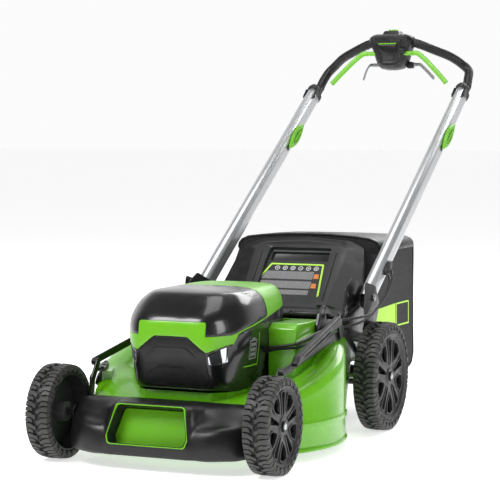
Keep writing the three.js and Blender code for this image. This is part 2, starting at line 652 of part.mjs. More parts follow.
function bag() {
  const side = prism("x", [[708, 152], [708, 282], [818, 405], [818, 470], [1050, 470], [1056, 110],
    [1040, 88], [772, 88]], -190, 190);
  const front = prism("y", [[-190, 80], [190, 80], ...BAG_TOP.slice().reverse()], 600, 1100);
  const inside = prism("x", [[700, 156], [700, 265], [822, 401], [824, 428], [1047, 428], [1052, 112],
    [1038, 92], [774, 92]], -186, 186);
  const insideFront = prism("y", [[-186, 60], [186, 60], [183, 400], [150, 428], [0, 443], [-150, 428],
    [-183, 400]], 600, 1100);
  return cut(side.intersect(front), inside.intersect(insideFront));
}
place("grass_bag", bag(), bagFabric);

function bagCover() {
  const lift = BAG_TOP.map(([x, z]) => [x * 1.02, z + (z === 403 ? 3 : 8)]);
  const outline = [...lift, ...BAG_TOP.slice().reverse().map(([x, z]) => [x * 1.004, z + 0.8])];
  return prism("y", outline, 812, 1046);
}
place("bag_cover", bagCover(), blackPlastic);

// ---- handle brackets ----
function handleBracket() {
  const outline = [[525, 262], [545, 340], [590, 358], [662, 334], [690, 290], [650, 216], [560, 212]];
  const inner = prism("x", outline, 198.4, 201.8);
  const outerOutline = [[580, 290], [592, 350], [662, 334], [690, 290], [650, 216], [600, 214]];
  const outer = prism("x", outerOutline, 231.3, 232.5);
  const web = prism("x", [[560, 212], [650, 216], [654, 223], [558, 219]], 200, 232);
  const bolt = bar("x", 6, [FOLD.y, FOLD.z], 199, 232.4);
  return join(inner, outer, web, bolt);
}
for (const [name, side] of SIDES) place(`handle_bracket_${name}`, onSide(side, handleBracket()),
  blackSteel);

// ---- lower handle: s runs up the tube from the fold pivot ----
function onHandle(geometry) {
  return solid(geometry.rotateX(HANDLE_SLOPE - Math.PI / 2).translate(0, FOLD.y, FOLD.z));
}

function handleLength(outline, from, to, x = TUBE.x) {
  const shape = new THREE.Shape(outline.map(([u, v]) => new THREE.Vector2(u, v)));
  const geometry = new THREE.ExtrudeGeometry(shape, { depth: to - from, bevelEnabled: false });
  return onHandle(geometry.translate(x, 0, from));
}

function roundLength(radius, from, to) {
  const geometry = new THREE.CylinderGeometry(radius, radius, to - from, 16).rotateX(Math.PI / 2);
  return geometry.translate(TUBE.x, LEG.n, (from + to) / 2);
}

function lowerTube() {
  const { deep, wide, wall, length } = TUBE;
  const tube = cut(handleLength(oval(deep, wide), -16, length),
    handleLength(oval(deep - 2 * wall, wide - 2 * wall), -30, length + 10));
  return cut(tube, bar("x", 6.5, [FOLD.y, FOLD.z], 190, 240));
}

function collar() {
  const { deep, wide, length } = TUBE;
  const ring = handleLength(oval(deep + 6, wide + 6), length - 8, length + 7);
  const neck = onHandle(roundLength(LEG.radius + 2.6, length + 6, length + 14));
  const tongue = handleLength([[8, -23.5], [16.8, -16], [16.8, 4], [14.7, 4], [14.7, -15]], length - 42,
    length - 7);
  return cut(join(ring, neck, tongue), handleLength(oval(deep + 0.8, wide + 0.8), length - 60,
    length + 0.5),
    onHandle(roundLength(LEG.radius + 0.4, length - 10, length + 40)));
}

// Quick-release cam: a pointed oval lying on the tube's +X face, hinged at its lower end.
const CAM = { s: 629, length: 118, half: 18, thick: 9 };

function cam(x) {
  const shape = new THREE.Shape();
  shape.moveTo(0, 0);
  shape.quadraticCurveTo(-CAM.half * 1.9, CAM.length / 2, 0, CAM.length);
  shape.quadraticCurveTo(CAM.half * 1.9, CAM.length / 2, 0, 0);
  const geometry = new THREE.ExtrudeGeometry(shape,
    { depth: CAM.thick, bevelEnabled: false, curveSegments: 8 });
  geometry.rotateX(Math.PI / 2).rotateZ(Math.PI / 2).translate(x + TUBE.wide / 2 + 1, 0, CAM.s);
  return onHandle(geometry);
}

for (const [name, side] of SIDES) {
  place(`lower_tube_${name}`, onSide(side, lowerTube()), aluminium);
  place(`collar_${name}`, onSide(side, collar()), blackPlastic);
  place(`cam_lever_${name}`, cam(side * TUBE.x), greenPlastic);
}

function cableGrommet() {
  const outline = [[0, 88], [9, 98], [9, 126], [3, 140], [-4, 140], [-9, 126], [-9, 98]];
  const shape = new THREE.Shape(outline.map(([v, s]) => new THREE.Vector2(v, s)));
  const geometry = new THREE.ExtrudeGeometry(shape, { depth: 9, bevelEnabled: false });
  geometry.rotateX(Math.PI / 2).rotateZ(Math.PI / 2).translate(TUBE.x + TUBE.wide / 2 + GAP, 0, 0);
  return onHandle(geometry);
}
place("cable_grommet", cableGrommet(), blackPlastic);

// ---- upper handle ----
const BAR_RADIUS = LEG.radius;

// A point on the upper handle's leg axis, s up the slope.
function onLeg(s) {
  const [c, k] = [Math.cos(HANDLE_SLOPE), Math.sin(HANDLE_SLOPE)];
  return [TUBE.x, FOLD.y + s * c - LEG.n * k, FOLD.z + s * k + LEG.n * c];
}

function handlebar() {
  const half = [
    onLeg(TUBE.length + 30), onLeg(TUBE.length + 44), [214, 1462, 843], [207, 1488, 868], [188, 1489, 886],
    [160, 1476, 906], [110, 1456, 928], [78, 1449, 941], [60, 1447, 946], [40, 1447, 946],
  ];
  const path = [...half, ...half.map(([x, y, z]) => [-x, y, z]).reverse()];
  const section = new THREE.Shape(ellipse(2 * BAR_RADIUS, 2 * BAR_RADIUS,
    10).map(([u, v]) => new THREE.Vector2(u, v)));
  const bow = sweep(section, path, 44);
  const leg = onHandle(roundLength(LEG.radius, LEG.start, TUBE.length + 31));
  return join(bow, leg, mirrored(leg));
}

function controlBox() {
  const { y, z } = BOX_CENTRE;
  const outline = [[-36, -56], [36, -56], [52, -40], [64, 0], [64, 22], [50, 34], [30, 40], [-30, 40],
    [-50, 34],
    [-64, 22], [-64, 0], [-52, -40]].map(([u, v]) => [u, v + z]);
  const body = prism("y", outline, y - 34, y + 34);
  const crown = loft([
    [[-26, y - 26, z + 38], [26, y - 26, z + 38], [26, y + 26, z + 38], [-26, y + 26, z + 38]],
    [[-20, y - 14, z + 50], [20, y - 14, z + 50], [20, y + 22, z + 50], [-20, y + 22, z + 50]],
  ]);
  return join(body, crown);
}

// Bail: two arms on one rod through the control box, swinging back towards the bar.
const BAIL_ROD = { y: 1424, z: 916 };
const DRIVE_ROD = { y: 1466, z: 886 };

function bailLever() {
  const { y, z } = BAIL_ROD;
  const section = new THREE.Shape([[-8, -3.5], [8, -3.5], [8, 3.5],
    [-8, 3.5]].map(([u, v]) => new THREE.Vector2(u, v)));
  const arm = sweep(section, [[66, y, z], [78, y, z], [96, y - 2, z - 12], [130, y - 8, z - 44],
    [168, y - 15, z - 82]], 12);
  return join(bar("x", 6, [y, z], -68, 68, 12), arm, mirrored(arm));
}

function driveLever() {
  const { y, z } = DRIVE_ROD;
  const section = new THREE.Shape([[-2, -6], [2, -6], [2, 6],
    [-2, 6]].map(([u, v]) => new THREE.Vector2(u, v)));
  const arm = sweep(section, [[64, y, z], [72, y, z], [84, y + 6, z - 10], [96, y + 20, z - 26],
    [104, y + 32, z - 38]], 10);
  return join(bar("x", 5, [y, z], -66, 66, 12), arm, mirrored(arm));
}

const bow = handlebar();
const boxBody = cut(controlBox(), bar("x", BAR_RADIUS + 3, [1447, 946], -90, 90, 16),
  bar("x", 7, [BAIL_ROD.y, BAIL_ROD.z], -90, 90, 12), bar("x", 6, [DRIVE_ROD.y, DRIVE_ROD.z], -90, 90, 12),
  box([-13, 13], [BOX_CENTRE.y - 5, BOX_CENTRE.y + 15], [BOX_CENTRE.z + 40, BOX_CENTRE.z + 60]),
  box([30, 48], [BOX_CENTRE.y - 40, BOX_CENTRE.y - 28], [BOX_CENTRE.z - 18, BOX_CENTRE.z + 24]));
place("handlebar", bow, blackPlastic);
place("control_box", boxBody, blackPlastic);
place("bail_lever", bailLever(), greenPlastic);
place("drive_lever", driveLever(), greyPlastic);
place("start_button", box([-12, 12], [BOX_CENTRE.y - 4, BOX_CENTRE.y + 14],
  [BOX_CENTRE.z + 45, BOX_CENTRE.z + 54]), greenPlastic);
place("speed_slider", box([31, 47], [BOX_CENTRE.y - 42, BOX_CENTRE.y - 29],
  [BOX_CENTRE.z - 16, BOX_CENTRE.z]), blackPlastic);

// ---- cables between the handle, the bracket and the hood ----
const CABLE_RADIUS = 3;
const cableSection = new THREE.Shape(ellipse(2 * CABLE_RADIUS, 2 * CABLE_RADIUS,
  6).map(([u, v]) => new THREE.Vector2(u, v)));
const POWER_CABLE = [[131.5, 236, 220], [150, 236, 226], [178, 238, 230], [199, 240, 232],
  [205.5, 248, 234],
  [209, 290, 238], [211, 360, 244], [212, 430, 250], [216, 468, 253], [229, 496, 256], [238, 518, 259],
    [241, 560, 263],
  [243, 600, 270], [246, 660, 294], [248, 700, 320], [246, 722, 342], [238, 738, 352]];
const DRIVE_CABLE = [[132.5, 230, 230], [148, 229, 232], [176, 232, 236], [199, 234, 240], [207, 245, 243],
  [210, 280, 250], [211, 318, 300], [211, 360, 336], [211, 420, 344], [214, 470, 328], [226, 500, 300],
  [240, 530, 276], [250, 600, 280], [253, 660, 304], [254, 700, 330], [251, 726, 352], [244, 742, 364]];
place("power_cable", sweep(cableSection, POWER_CABLE, 44), blackPlastic);
place("drive_cable", sweep(cableSection, DRIVE_CABLE, 44), blackPlastic);

const part = new THREE.Group();
part.add(mower);
export default part;
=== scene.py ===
"""The looks of a battery walk-behind lawn mower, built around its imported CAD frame.

Shapes are given in millimetres: x towards the operator's left, y back from the front wheels'
axis, z up from the ground. at() turns them into metres in the frame's own axes.
"""
import json
import math

import bmesh
import bpy
from mathutils import Matrix, Vector

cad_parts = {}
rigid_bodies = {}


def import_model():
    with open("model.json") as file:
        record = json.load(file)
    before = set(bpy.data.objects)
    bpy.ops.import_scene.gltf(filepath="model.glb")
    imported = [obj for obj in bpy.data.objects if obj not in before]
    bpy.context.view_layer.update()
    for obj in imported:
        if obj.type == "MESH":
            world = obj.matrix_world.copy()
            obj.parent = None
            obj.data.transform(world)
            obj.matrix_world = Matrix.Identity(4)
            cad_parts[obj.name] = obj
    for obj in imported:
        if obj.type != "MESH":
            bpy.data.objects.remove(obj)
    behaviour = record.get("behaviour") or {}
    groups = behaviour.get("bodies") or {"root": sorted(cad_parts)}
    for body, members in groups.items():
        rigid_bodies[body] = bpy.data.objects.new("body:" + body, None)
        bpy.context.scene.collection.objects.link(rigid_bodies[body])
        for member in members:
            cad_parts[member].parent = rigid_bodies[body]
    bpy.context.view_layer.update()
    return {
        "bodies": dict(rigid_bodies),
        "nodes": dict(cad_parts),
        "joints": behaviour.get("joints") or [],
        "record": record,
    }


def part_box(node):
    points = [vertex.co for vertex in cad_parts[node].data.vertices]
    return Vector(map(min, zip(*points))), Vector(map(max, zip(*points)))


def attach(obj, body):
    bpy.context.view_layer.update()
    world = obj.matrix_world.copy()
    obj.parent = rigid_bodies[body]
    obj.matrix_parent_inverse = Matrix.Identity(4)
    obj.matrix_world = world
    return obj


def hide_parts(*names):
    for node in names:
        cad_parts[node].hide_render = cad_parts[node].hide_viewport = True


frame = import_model()


# ---- places taken from the frame ----
def middle(node):
    low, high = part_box(node)
    return (low + high) / 2


AXIS_Y = middle("front_tyre_left").y


def at(x, y, z):
    return Vector((x / 1000, y / 1000 + AXIS_Y, z / 1000))


def wheel_facts(end):
    """Radius, width, outer face, axis place and rim radius of a wheel, from its CAD nodes."""
    low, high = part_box(f"{end}_tyre_left")
    rim_low, rim_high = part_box(f"{end}_rim_left")
    return {
        "radius": (high.z - low.z) * 500,
        "y": ((low.y + high.y) / 2 - AXIS_Y) * 1000,
        "outer": high.x * 1000,
        "width": (high.x - low.x) * 1000,
        "ring": (rim_high.z - rim_low.z) * 500,
    }


FRONT = wheel_facts("front")
REAR = wheel_facts("rear")

DECK_Y = 286
DECK_RADIUS = 280
WALL = 2.6
TUNNEL_HALF = 198
TOWER_INNER = 134
PLATFORM_Z = 149
FOLD = (644, 308)
SLOPE = math.radians(33.4)
TUBE = {"x": 216.6, "deep": 48, "wide": 28.6, "length": 903}
LEG = {"radius": 12.3, "n": -9.7}
DOOR_HINGE = (650, 262)
DOOR_SLOPE = math.radians(48)
BOX_CENTRE = (1447, 930)


# ---- camera, lights and floor ----
def set_camera():
    data = bpy.data.cameras.new("camera")
    data.lens = 129.7
    data.sensor_width = 36
    data.shift_x = 0.0007
    data.shift_y = -0.0206
    camera = bpy.data.objects.new("camera", data)
    camera.location = (1.66424, -4.04905, 0.69924)
    camera.rotation_euler = (math.pi / 2 - 0.060, 0, 0.413)
    bpy.context.scene.collection.objects.link(camera)
    bpy.context.scene.camera = camera


def area_light(name, place, aim, size, power):
    data = bpy.data.lights.new(name, "AREA")
    data.shape = "RECTANGLE"
    data.size, data.size_y = size
    data.energy = power
    light = bpy.data.objects.new(name, data)
    light.location = place
    light.rotation_euler = (Vector(aim) - Vector(place)).to_track_quat("-Z", "Y").to_euler()
    bpy.context.scene.collection.objects.link(light)


def set_lights():
    scene = bpy.context.scene
    scene.view_settings.view_transform = "Standard"
    world = bpy.data.worlds.new("studio")
    world.use_nodes = True
    nodes, links = world.node_tree.nodes, world.node_tree.links
    background = nodes["Background"]
    background.inputs["Color"].default_value = (1, 1, 1, 1)
    # A white wall behind the mower and a dimmer room in front of it and above.
    toward = nodes.new("ShaderNodeVectorMath")
    toward.operation = "DOT_PRODUCT"
    toward.inputs[1].default_value = (-0.4, 0.91, -0.06)
    links.new(nodes.new("ShaderNodeTexCoord").outputs["Generated"], toward.inputs[0])
    glow = nodes.new("ShaderNodeMapRange")
    glow.inputs["From Min"].default_value = 0.35
    glow.inputs["From Max"].default_value = 0.85
    glow.inputs["To Min"].default_value = 0.22
    glow.inputs["To Max"].default_value = 0.97
    links.new(toward.outputs["Value"], glow.inputs["Value"])
    links.new(glow.outputs["Result"], background.inputs["Strength"])
    scene.world = world
    target = (0, -0.1, 0.35)
    area_light("key", (-1.4, -3.0, 3.4), target, (1.8, 1.8), 135)
    area_light("fill", (3.8, -1.8, 1.8), target, (1.2, 2.6), 68)
    area_light("back", (0.5, 3.6, 2.8), target, (3.0, 1.6), 70)
    area_light("top", (0.2, 0.0, 3.8), target, (2.2, 2.2), 50)


def set_floor(finish):
    mesh = bpy.data.meshes.new("floor")
    reach = 60
    mesh.from_pydata([(-reach, -reach, 0), (reach, -reach, 0), (reach, reach, 0), (-reach, reach, 0)], [],
        [(0, 1, 2, 3)])
    floor = bpy.data.objects.new("floor", mesh)
    floor.location.z = -0.0005
    floor.data.materials.append(finish)
    bpy.context.scene.collection.objects.link(floor)


# ---- materials ----
def linear(colour):
    """An sRGB colour of three 0-255 numbers as linear RGBA."""
    parts = [c / 255 for c in colour]
    return tuple(c / 12.92 if c <= 0.04045 else ((c + 0.055) / 1.055) ** 2.4 for c in parts) + (1,)


class Surface:
    """A procedural material: base colour with soft mottling, uneven roughness, grain and a painted
    highlight on sharp edges.
    """

    def __init__(self, name, colour, roughness, metallic=0.0, coat=0.0):
        self.material = bpy.data.materials.new(name)
        self.material.use_nodes = True
        self.nodes = self.material.node_tree.nodes
        self.links = self.material.node_tree.links
        self.shader = self.nodes["Principled BSDF"]
        self.colour = linear(colour)
        self.roughness = roughness
        self.shader.inputs["Base Color"].default_value = self.colour
        self.shader.inputs["Roughness"].default_value = roughness
        self.shader.inputs["Metallic"].default_value = metallic
        self.shader.inputs["Coat Weight"].default_value = coat
        self.shader.inputs["Coat Roughness"].default_value = 0.08
        self.shader.inputs["Specular IOR Level"].default_value = 0.4
        self.place = self.nodes.new("ShaderNodeTexCoord").outputs["Object"]
        self.normal = None

    def noise(self, scale, detail=3.0, stretch=None):
        texture = self.nodes.new("ShaderNodeTexNoise")
        texture.inputs["Scale"].default_value = scale
        texture.inputs["Detail"].default_value = detail
        place = self.place
        if stretch is not None:
            mapping = self.nodes.new("ShaderNodeMapping")
            mapping.inputs["Rotation"].default_value = stretch[0]
            mapping.inputs["Scale"].default_value = stretch[1]
            self.links.new(place, mapping.inputs["Vector"])
            place = mapping.outputs["Vector"]
        self.links.new(place, texture.inputs["Vector"])
        return texture.outputs["Fac"]

    def spread(self, value, low, high, start=0.3, end=0.7):
        """The value rescaled so that start..end becomes low..high."""
        scale = self.nodes.new("ShaderNodeMapRange")
        scale.inputs["From Min"].default_value = start
        scale.inputs["From Max"].default_value = end
        scale.inputs["To Min"].default_value = low
        scale.inputs["To Max"].default_value = high
        self.links.new(value, scale.inputs["Value"])
        return scale.outputs["Result"]

    def mix(self, amount, second):
        """Puts a second colour over the base colour where amount is high."""
        blend = self.nodes.new("ShaderNodeMix")
        blend.data_type = "RGBA"
        base = self.shader.inputs["Base Color"]
        if base.is_linked:
            self.links.new(base.links[0].from_socket, blend.inputs["A"])
        else:
            blend.inputs["A"].default_value = self.colour
        blend.inputs["B"].default_value = linear(second)
        self.links.new(amount, blend.inputs["Factor"])
        self.links.new(blend.outputs["Result"], base)
        return self

    def mottle(self, second, scale, strength):
        return self.mix(self.spread(self.noise(scale), 0, strength), second)

    def uneven(self, spread, scale, stretch=None):
        value = self.spread(self.noise(scale, 4.0, stretch), self.roughness - spread,
            self.roughness + spread)
        self.links.new(value, self.shader.inputs["Roughness"])
        return self

    def relief(self, height, strength, depth):
        bump = self.nodes.new("ShaderNodeBump")
        bump.inputs["Strength"].default_value = strength
        bump.inputs["Distance"].default_value = depth
        self.links.new(height, bump.inputs["Height"])
        if self.normal is not None:
            self.links.new(self.normal, bump.inputs["Normal"])
        self.normal = bump.outputs["Normal"]
        self.links.new(self.normal, self.shader.inputs["Normal"])
        return self

    def grain(self, scale, strength, depth=0.0002, stretch=None):
        return self.relief(self.noise(scale, 2.0, stretch), strength, depth)

    def painted_edge_highlight(self, second, strength):
        """Paints a highlight on the sharp outer edges: a lighter colour standing in for light catching
        them.
        """
        edge = self.nodes.new("ShaderNodeNewGeometry").outputs["Pointiness"]
        return self.mix(self.spread(edge, 0, strength, 0.53, 0.62), second)


# In the materials below, the lighter second colour given for the sharp edges is a painted edge highlight.
def green_paint():
    paint = Surface("green_paint", (98, 170, 20), 0.26, coat=0.4)
    paint.mottle((88, 158, 16), 6, 0.5).uneven(0.06, 18)
    return paint.grain(260, 0.12, 0.0003).painted_edge_highlight((140, 206, 80), 0.25).material


def green_plastic():
    plastic = Surface("green_plastic", (104, 176, 20), 0.36, coat=0.1)
    plastic.mottle((94, 164, 16), 9, 0.4).uneven(0.07, 40)
    return plastic.grain(1400, 0.12, 0.00015).painted_edge_highlight((140, 206, 74), 0.3).material


def black_plastic():
    plastic = Surface("black_plastic", (17, 17, 18), 0.38)
    plastic.mottle((11, 11, 12), 12, 0.7).uneven(0.08, 30)
    return plastic.grain(1700, 0.3, 0.0002).painted_edge_highlight((74, 74, 76), 0.3).material


def gloss_black():
    plastic = Surface("gloss_black", (17, 17, 19), 0.24, coat=0.4)
    plastic.mottle((12, 12, 13), 8, 0.6).uneven(0.06, 14)
    return plastic.grain(900, 0.08, 0.0001).painted_edge_highlight((60, 60, 62), 0.25).material


def rim_plastic():
    plastic = Surface("rim_plastic", (32, 31, 33), 0.42)
    plastic.mottle((23, 22, 24), 20, 0.6).uneven(0.08, 50)
    return plastic.grain(1500, 0.25, 0.0002).painted_edge_highlight((104, 104, 106), 0.35).material


def tyre_rubber():
    rubber = Surface("tyre_rubber", (17, 16, 17), 0.5)
    rubber.mottle((27, 26, 25), 35, 0.6).uneven(0.12, 70)
    return rubber.grain(900, 0.45, 0.0004).painted_edge_highlight((84, 83, 82), 0.4).material


def brushed_aluminium():
    metal = Surface("brushed_aluminium", (208, 209, 211), 0.34, metallic=0.85)
    return metal.mottle((186, 187, 190), 5, 0.5).uneven(0.05, 14).material


def black_steel():
    steel = Surface("black_steel", (22, 22, 23), 0.36, metallic=0.25, coat=0.1)
    steel.mottle((15, 15, 16), 14, 0.6).uneven(0.08, 40)
    return steel.grain(700, 0.25, 0.0002).painted_edge_highlight((112, 112, 112), 0.35).material


def grip_foam():
    sleeve = Surface("grip_sleeve", (24, 23, 25), 0.42)
    sleeve.mottle((17, 16, 18), 20, 0.7).uneven(0.1, 60)
    return sleeve.grain(1200, 0.5, 0.0003).painted_edge_highlight((84, 83, 84), 0.3).material


def plated_steel():
    steel = Surface("plated_steel", (176, 178, 180), 0.28, metallic=0.95)
    steel.mottle((140, 142, 146), 30, 0.6).uneven(0.1, 120)
    return steel.grain(600, 0.15, 0.0001).material


def lamp_lens():
    lens = Surface("lamp_lens", (232, 238, 242), 0.06, coat=0.4)
    lens.shader.inputs["Transmission Weight"].default_value = 0.55
    lens.shader.inputs["IOR"].default_value = 1.49
    lens.mottle((205, 214, 220), 60, 0.5)
    return lens.grain(500, 0.2, 0.0003).material


def lamp_mirror():
    mirror = Surface("lamp_mirror", (224, 226, 230), 0.12, metallic=0.95)
    return mirror.mottle((170, 174, 180), 90, 0.7).grain(400, 0.3, 0.0004).material


def bag_cloth():
    cloth = Surface("bag_cloth", (29, 28, 29), 0.85)
    cloth.shader.inputs["Sheen Weight"].default_value = 0.1
    cloth.mottle((22, 20, 22), 7, 0.7)
    for axis in ("Y", "Z"):
        wave = cloth.nodes.new("ShaderNodeTexWave")
        wave.bands_direction = axis
        wave.inputs["Scale"].default_value = 260
        wave.inputs["Distortion"].default_value = 0.6
        cloth.links.new(cloth.place, wave.inputs["Vector"])
        cloth.relief(wave.outputs["Fac"], 0.35, 0.0004)
    return cloth.uneven(0.08, 90).material


def printed(name, colour, second):
    ink = Surface(name, colour, 0.5)
    return ink.mottle(second, 700, 1.0).grain(1200, 0.1, 0.0001).material


def grey_plastic():
    plastic = Surface("grey_plastic", (132, 133, 136), 0.42)
    plastic.mottle((116, 117, 120), 14, 0.6).uneven(0.07, 40)
    return plastic.grain(1300, 0.2, 0.0002).painted_edge_highlight((170, 171, 173), 0.3).material


def cable_sheath():
    sheath = Surface("cable_sheath", (17, 17, 18), 0.4)
    return sheath.mottle((38, 37, 38), 40, 0.5).uneven(0.1, 80).grain(800, 0.2, 0.0002).material


def floor_paper():
    paper = Surface("floor_paper", (246, 246, 246), 0.85)
    paper.shader.inputs["Emission Color"].default_value = (1, 1, 1, 1)
    paper.shader.inputs["Emission Strength"].default_value = 0.62
    return paper.mottle((240, 240, 240), 2, 0.6).grain(300, 0.03, 0.0002).material


FINISH = {
    "green_paint": green_paint(),
    "green_plastic": green_plastic(),
    "black_plastic": black_plastic(),
    "gloss_black": gloss_black(),
    "rim_plastic": rim_plastic(),
    "tyre": tyre_rubber(),
    "aluminium": brushed_aluminium(),
    "black_steel": black_steel(),
    "steel": plated_steel(),
    "lens": lamp_lens(),
    "bag_fabric": bag_cloth(),
    "grey_plastic": grey_plastic(),
    "cable": cable_sheath(),
}
GRIP = grip_foam()
LAMP = lamp_mirror()
LIME = printed("lime_ink", (186, 236, 84), (178, 228, 78))
PALE = printed("pale_ink", (214, 216, 214), (190, 192, 190))
GREY_PRINT = printed("grey_print", (140, 138, 140), (92, 90, 94))
ORANGE = printed("orange_ink", (214, 122, 48), (190, 120, 66))
SMOKE = printed("smoked_lens", (16, 17, 19), (22, 23, 26))
DARK = printed("dark_ink", (26, 26, 27), (34, 34, 35))


# ---- shapes ----
def shape(vertices, faces, name="shape"):
    mesh = bpy.data.meshes.new(name)
    mesh.from_pydata([at(*v) for v in vertices], [], faces)
    body = bmesh.new()
    body.from_mesh(mesh)
    bmesh.ops.remove_doubles(body, verts=body.verts, dist=2e-6)
    bmesh.ops.recalc_face_normals(body, faces=body.faces)
    body.to_mesh(mesh)
    body.free()
    obj = bpy.data.objects.new(name, mesh)
    bpy.context.scene.collection.objects.link(obj)
    return obj


def between(p0, p1, p2, p3, u):
    """A point at u from 0 to 1 on the centripetal curve from p1 to p2."""
    times = [0.0]
    for a, b in ((p0, p1), (p1, p2), (p2, p3)):
        times.append(times[-1] + max(math.sqrt((b - a).length), 1e-4))
    t = times[1] + (times[2] - times[1]) * u

    def mix(a, b, start, end):
        return a + (b - a) * ((t - start) / (end - start))

    a1 = mix(p0, p1, times[0], times[1])
    a2 = mix(p1, p2, times[1], times[2])
    a3 = mix(p2, p3, times[2], times[3])
    return mix(mix(a1, a2, times[0], times[2]), mix(a2, a3, times[1], times[3]), times[1], times[2])


def spline(points, steps, closed=False):
    """Points on a smooth curve through the given ones, with so many steps to each span."""
    points = [Vector(p) for p in points]
    count = len(points)
    spans = count if closed else count - 1
    result = []
    for i in range(spans):
        p1, p2 = points[i], points[(i + 1) % count]
        p0 = points[i - 1] if closed or i > 0 else 2 * p1 - p2
        p3 = points[(i + 2) % count] if closed or i + 2 < count else 2 * p2 - p1
        result += [between(p0, p1, p2, p3, k / steps) for k in range(steps)]
    if not closed:
        result.append(points[-1])
    return result


def loft(rings):
    """A skin through rings of equal length, closed at both ends."""
    count = len(rings[0])
    faces = [tuple(range(count))]
    for r in range(len(rings) - 1):
        for i in range(count):
            a, b = r * count + i, r * count + (i + 1) % count
            faces.append((a, b, b + count, a + count))
    faces.append(tuple(range((len(rings) - 1) * count, len(rings) * count)))
    return shape([tuple(p) for ring in rings for p in ring], faces)


def smooth_loft(rings, around, along):
    dense = [spline(ring, around, closed=True) for ring in rings]
    columns = [spline(column, along) for column in zip(*dense)]
    return loft(list(zip(*columns)))


def rounded(outline, radius, steps=5):
    """The outline with its corners turned on arcs; radius is one number, or one for each corner."""
    result = []
    count = len(outline)
    for i, corner in enumerate(outline):
        r = radius[i] if isinstance(radius, (list, tuple)) else radius
        p = Vector(corner)
        before, after = Vector(outline[i - 1]) - p, Vector(outline[(i + 1) % count]) - p
        half = before.angle(after) / 2
        reach = min(r / max(math.tan(half), 0.05), 0.48 * before.length, 0.48 * after.length)
        if reach <= 0.01:
            result.append(tuple(p))
            continue
        start, end = p + before.normalized() * reach, p + after.normalized() * reach
        for k in range(steps + 1):
            t = k / steps
            result.append(tuple(start * (1 - t) ** 2 + p * 2 * t * (1 - t) + end * t * t))
    return result


AXES = {"x": lambda u, v, w: (w, u, v), "y": lambda u, v, w: (u, w, v), "z": lambda u, v, w: (u, v, w)}


def prism(axis, outline, start, end):
    """An outline swept straight: x takes (y, z) points, y takes (x, z) and z takes (x, y)."""
    return loft([[AXES[axis](u, v, w) for u, v in outline] for w in (start, end)])


def block(x, y, z):
    return prism("z", [(x[0], y[0]), (x[1], y[0]), (x[1], y[1]), (x[0], y[1])], z[0], z[1])


def circle(radius, sides, squeeze=1.0):
    turn = 2 * math.pi / sides
    return [(radius * squeeze * math.cos(k * turn), radius * math.sin(k * turn)) for k in range(sides)]


def oval(deep, wide, per_end=12):
    """A flat-sided oval: half-round ends joined by straight sides."""
    straight = (deep - wide) / 2
    points = []
    for side in (1, -1):
        for k in range(per_end + 1):
            turn = math.pi * k / per_end
            points.append((side * wide / 2 * math.cos(turn), side * (straight + wide / 2 * math.sin(turn))))
    return points


def bar(radius, centre, x, sides=32):
    """A round bar along X; centre is (y, z)."""
    return prism("x", [(centre[0] + u, centre[1] + v) for u, v in circle(radius, sides)], x[0], x[1])


def turned(profile, centre, segments=72):
    """A closed profile of (x, r) points turned about an X axis through centre (y, z)."""
    count = len(profile)
    vertices, faces = [], []
    for s in range(segments):
        turn = 2 * math.pi * s / segments
        for x, r in profile:
            vertices.append((x, centre[0] + r * math.cos(turn), centre[1] + r * math.sin(turn)))
        for i in range(count):
            a, b = s * count + i, s * count + (i + 1) % count
            wrap = ((s + 1) % segments) * count
            faces.append((a, b, wrap + (i + 1) % count, wrap + i))
    return shape(vertices, faces)


def sweep(section, path, steps=6, sideways=(1, 0, 0)):
    """A section of (u, v) points along a smooth path; u starts out along sideways."""
    points = spline(path, steps)
    first = (points[1] - points[0]).normalized()
    across = Vector(sideways)
    across = (across - first * across.dot(first)).normalized()
    rings = []
    for i, point in enumerate(points):
        ahead = points[min(i + 1, len(points) - 1)] - points[max(i - 1, 0)]
        ahead.normalize()
        across = (across - ahead * across.dot(ahead)).normalized()
        up = ahead.cross(across)
        rings.append([point + across * u + up * v for u, v in section])
    return loft(rings)


def settle(obj):
    """Applies the object's modifiers to its mesh."""
    bpy.context.view_layer.update()
    graph = bpy.context.evaluated_depsgraph_get()
    mesh = bpy.data.meshes.new_from_object(obj.evaluated_get(graph))
    obj.modifiers.clear()
    obj.data = mesh
    return obj


def combine(obj, tools, operation):
    for tool in tools:
        boolean = obj.modifiers.new("boolean", "BOOLEAN")
        boolean.operation = operation
        boolean.solver = "MANIFOLD"
        boolean.object = tool
        settle(obj)
        bpy.data.objects.remove(tool)
    return obj


def cut(obj, *tools):
    return combine(obj, tools, "DIFFERENCE")


def fuse(obj, *others):
    return combine(obj, others, "UNION")


def overlap(obj, *tools):
    return combine(obj, tools, "INTERSECT")


def gather(*objects):
    """One object from several, without cutting where they meet."""
    body = bmesh.new()
    for obj in objects:
        body.from_mesh(obj.data)
    body.to_mesh(objects[0].data)
    body.free()
    for obj in objects[1:]:
        bpy.data.objects.remove(obj)
    return objects[0]


def copy_of(obj):
    twin = bpy.data.objects.new(obj.name, obj.data.copy())
    bpy.context.scene.collection.objects.link(twin)
    return twin


def flipped(obj):
    """A copy on the mower's other side."""
    twin = copy_of(obj)
    twin.data.transform(Matrix.Diagonal((-1, 1, 1, 1)))
    twin.data.flip_normals()
    return twin


def soften(obj, width, segments=3, angle=28):
    """Rounds the sharp edges; width in millimetres."""
    bevel = obj.modifiers.new("bevel", "BEVEL")
    bevel.width = width / 1000
    bevel.segments = segments
    bevel.limit_method = "ANGLE"
    bevel.angle_limit = math.radians(angle)
    bevel.harden_normals = False
    return settle(obj)


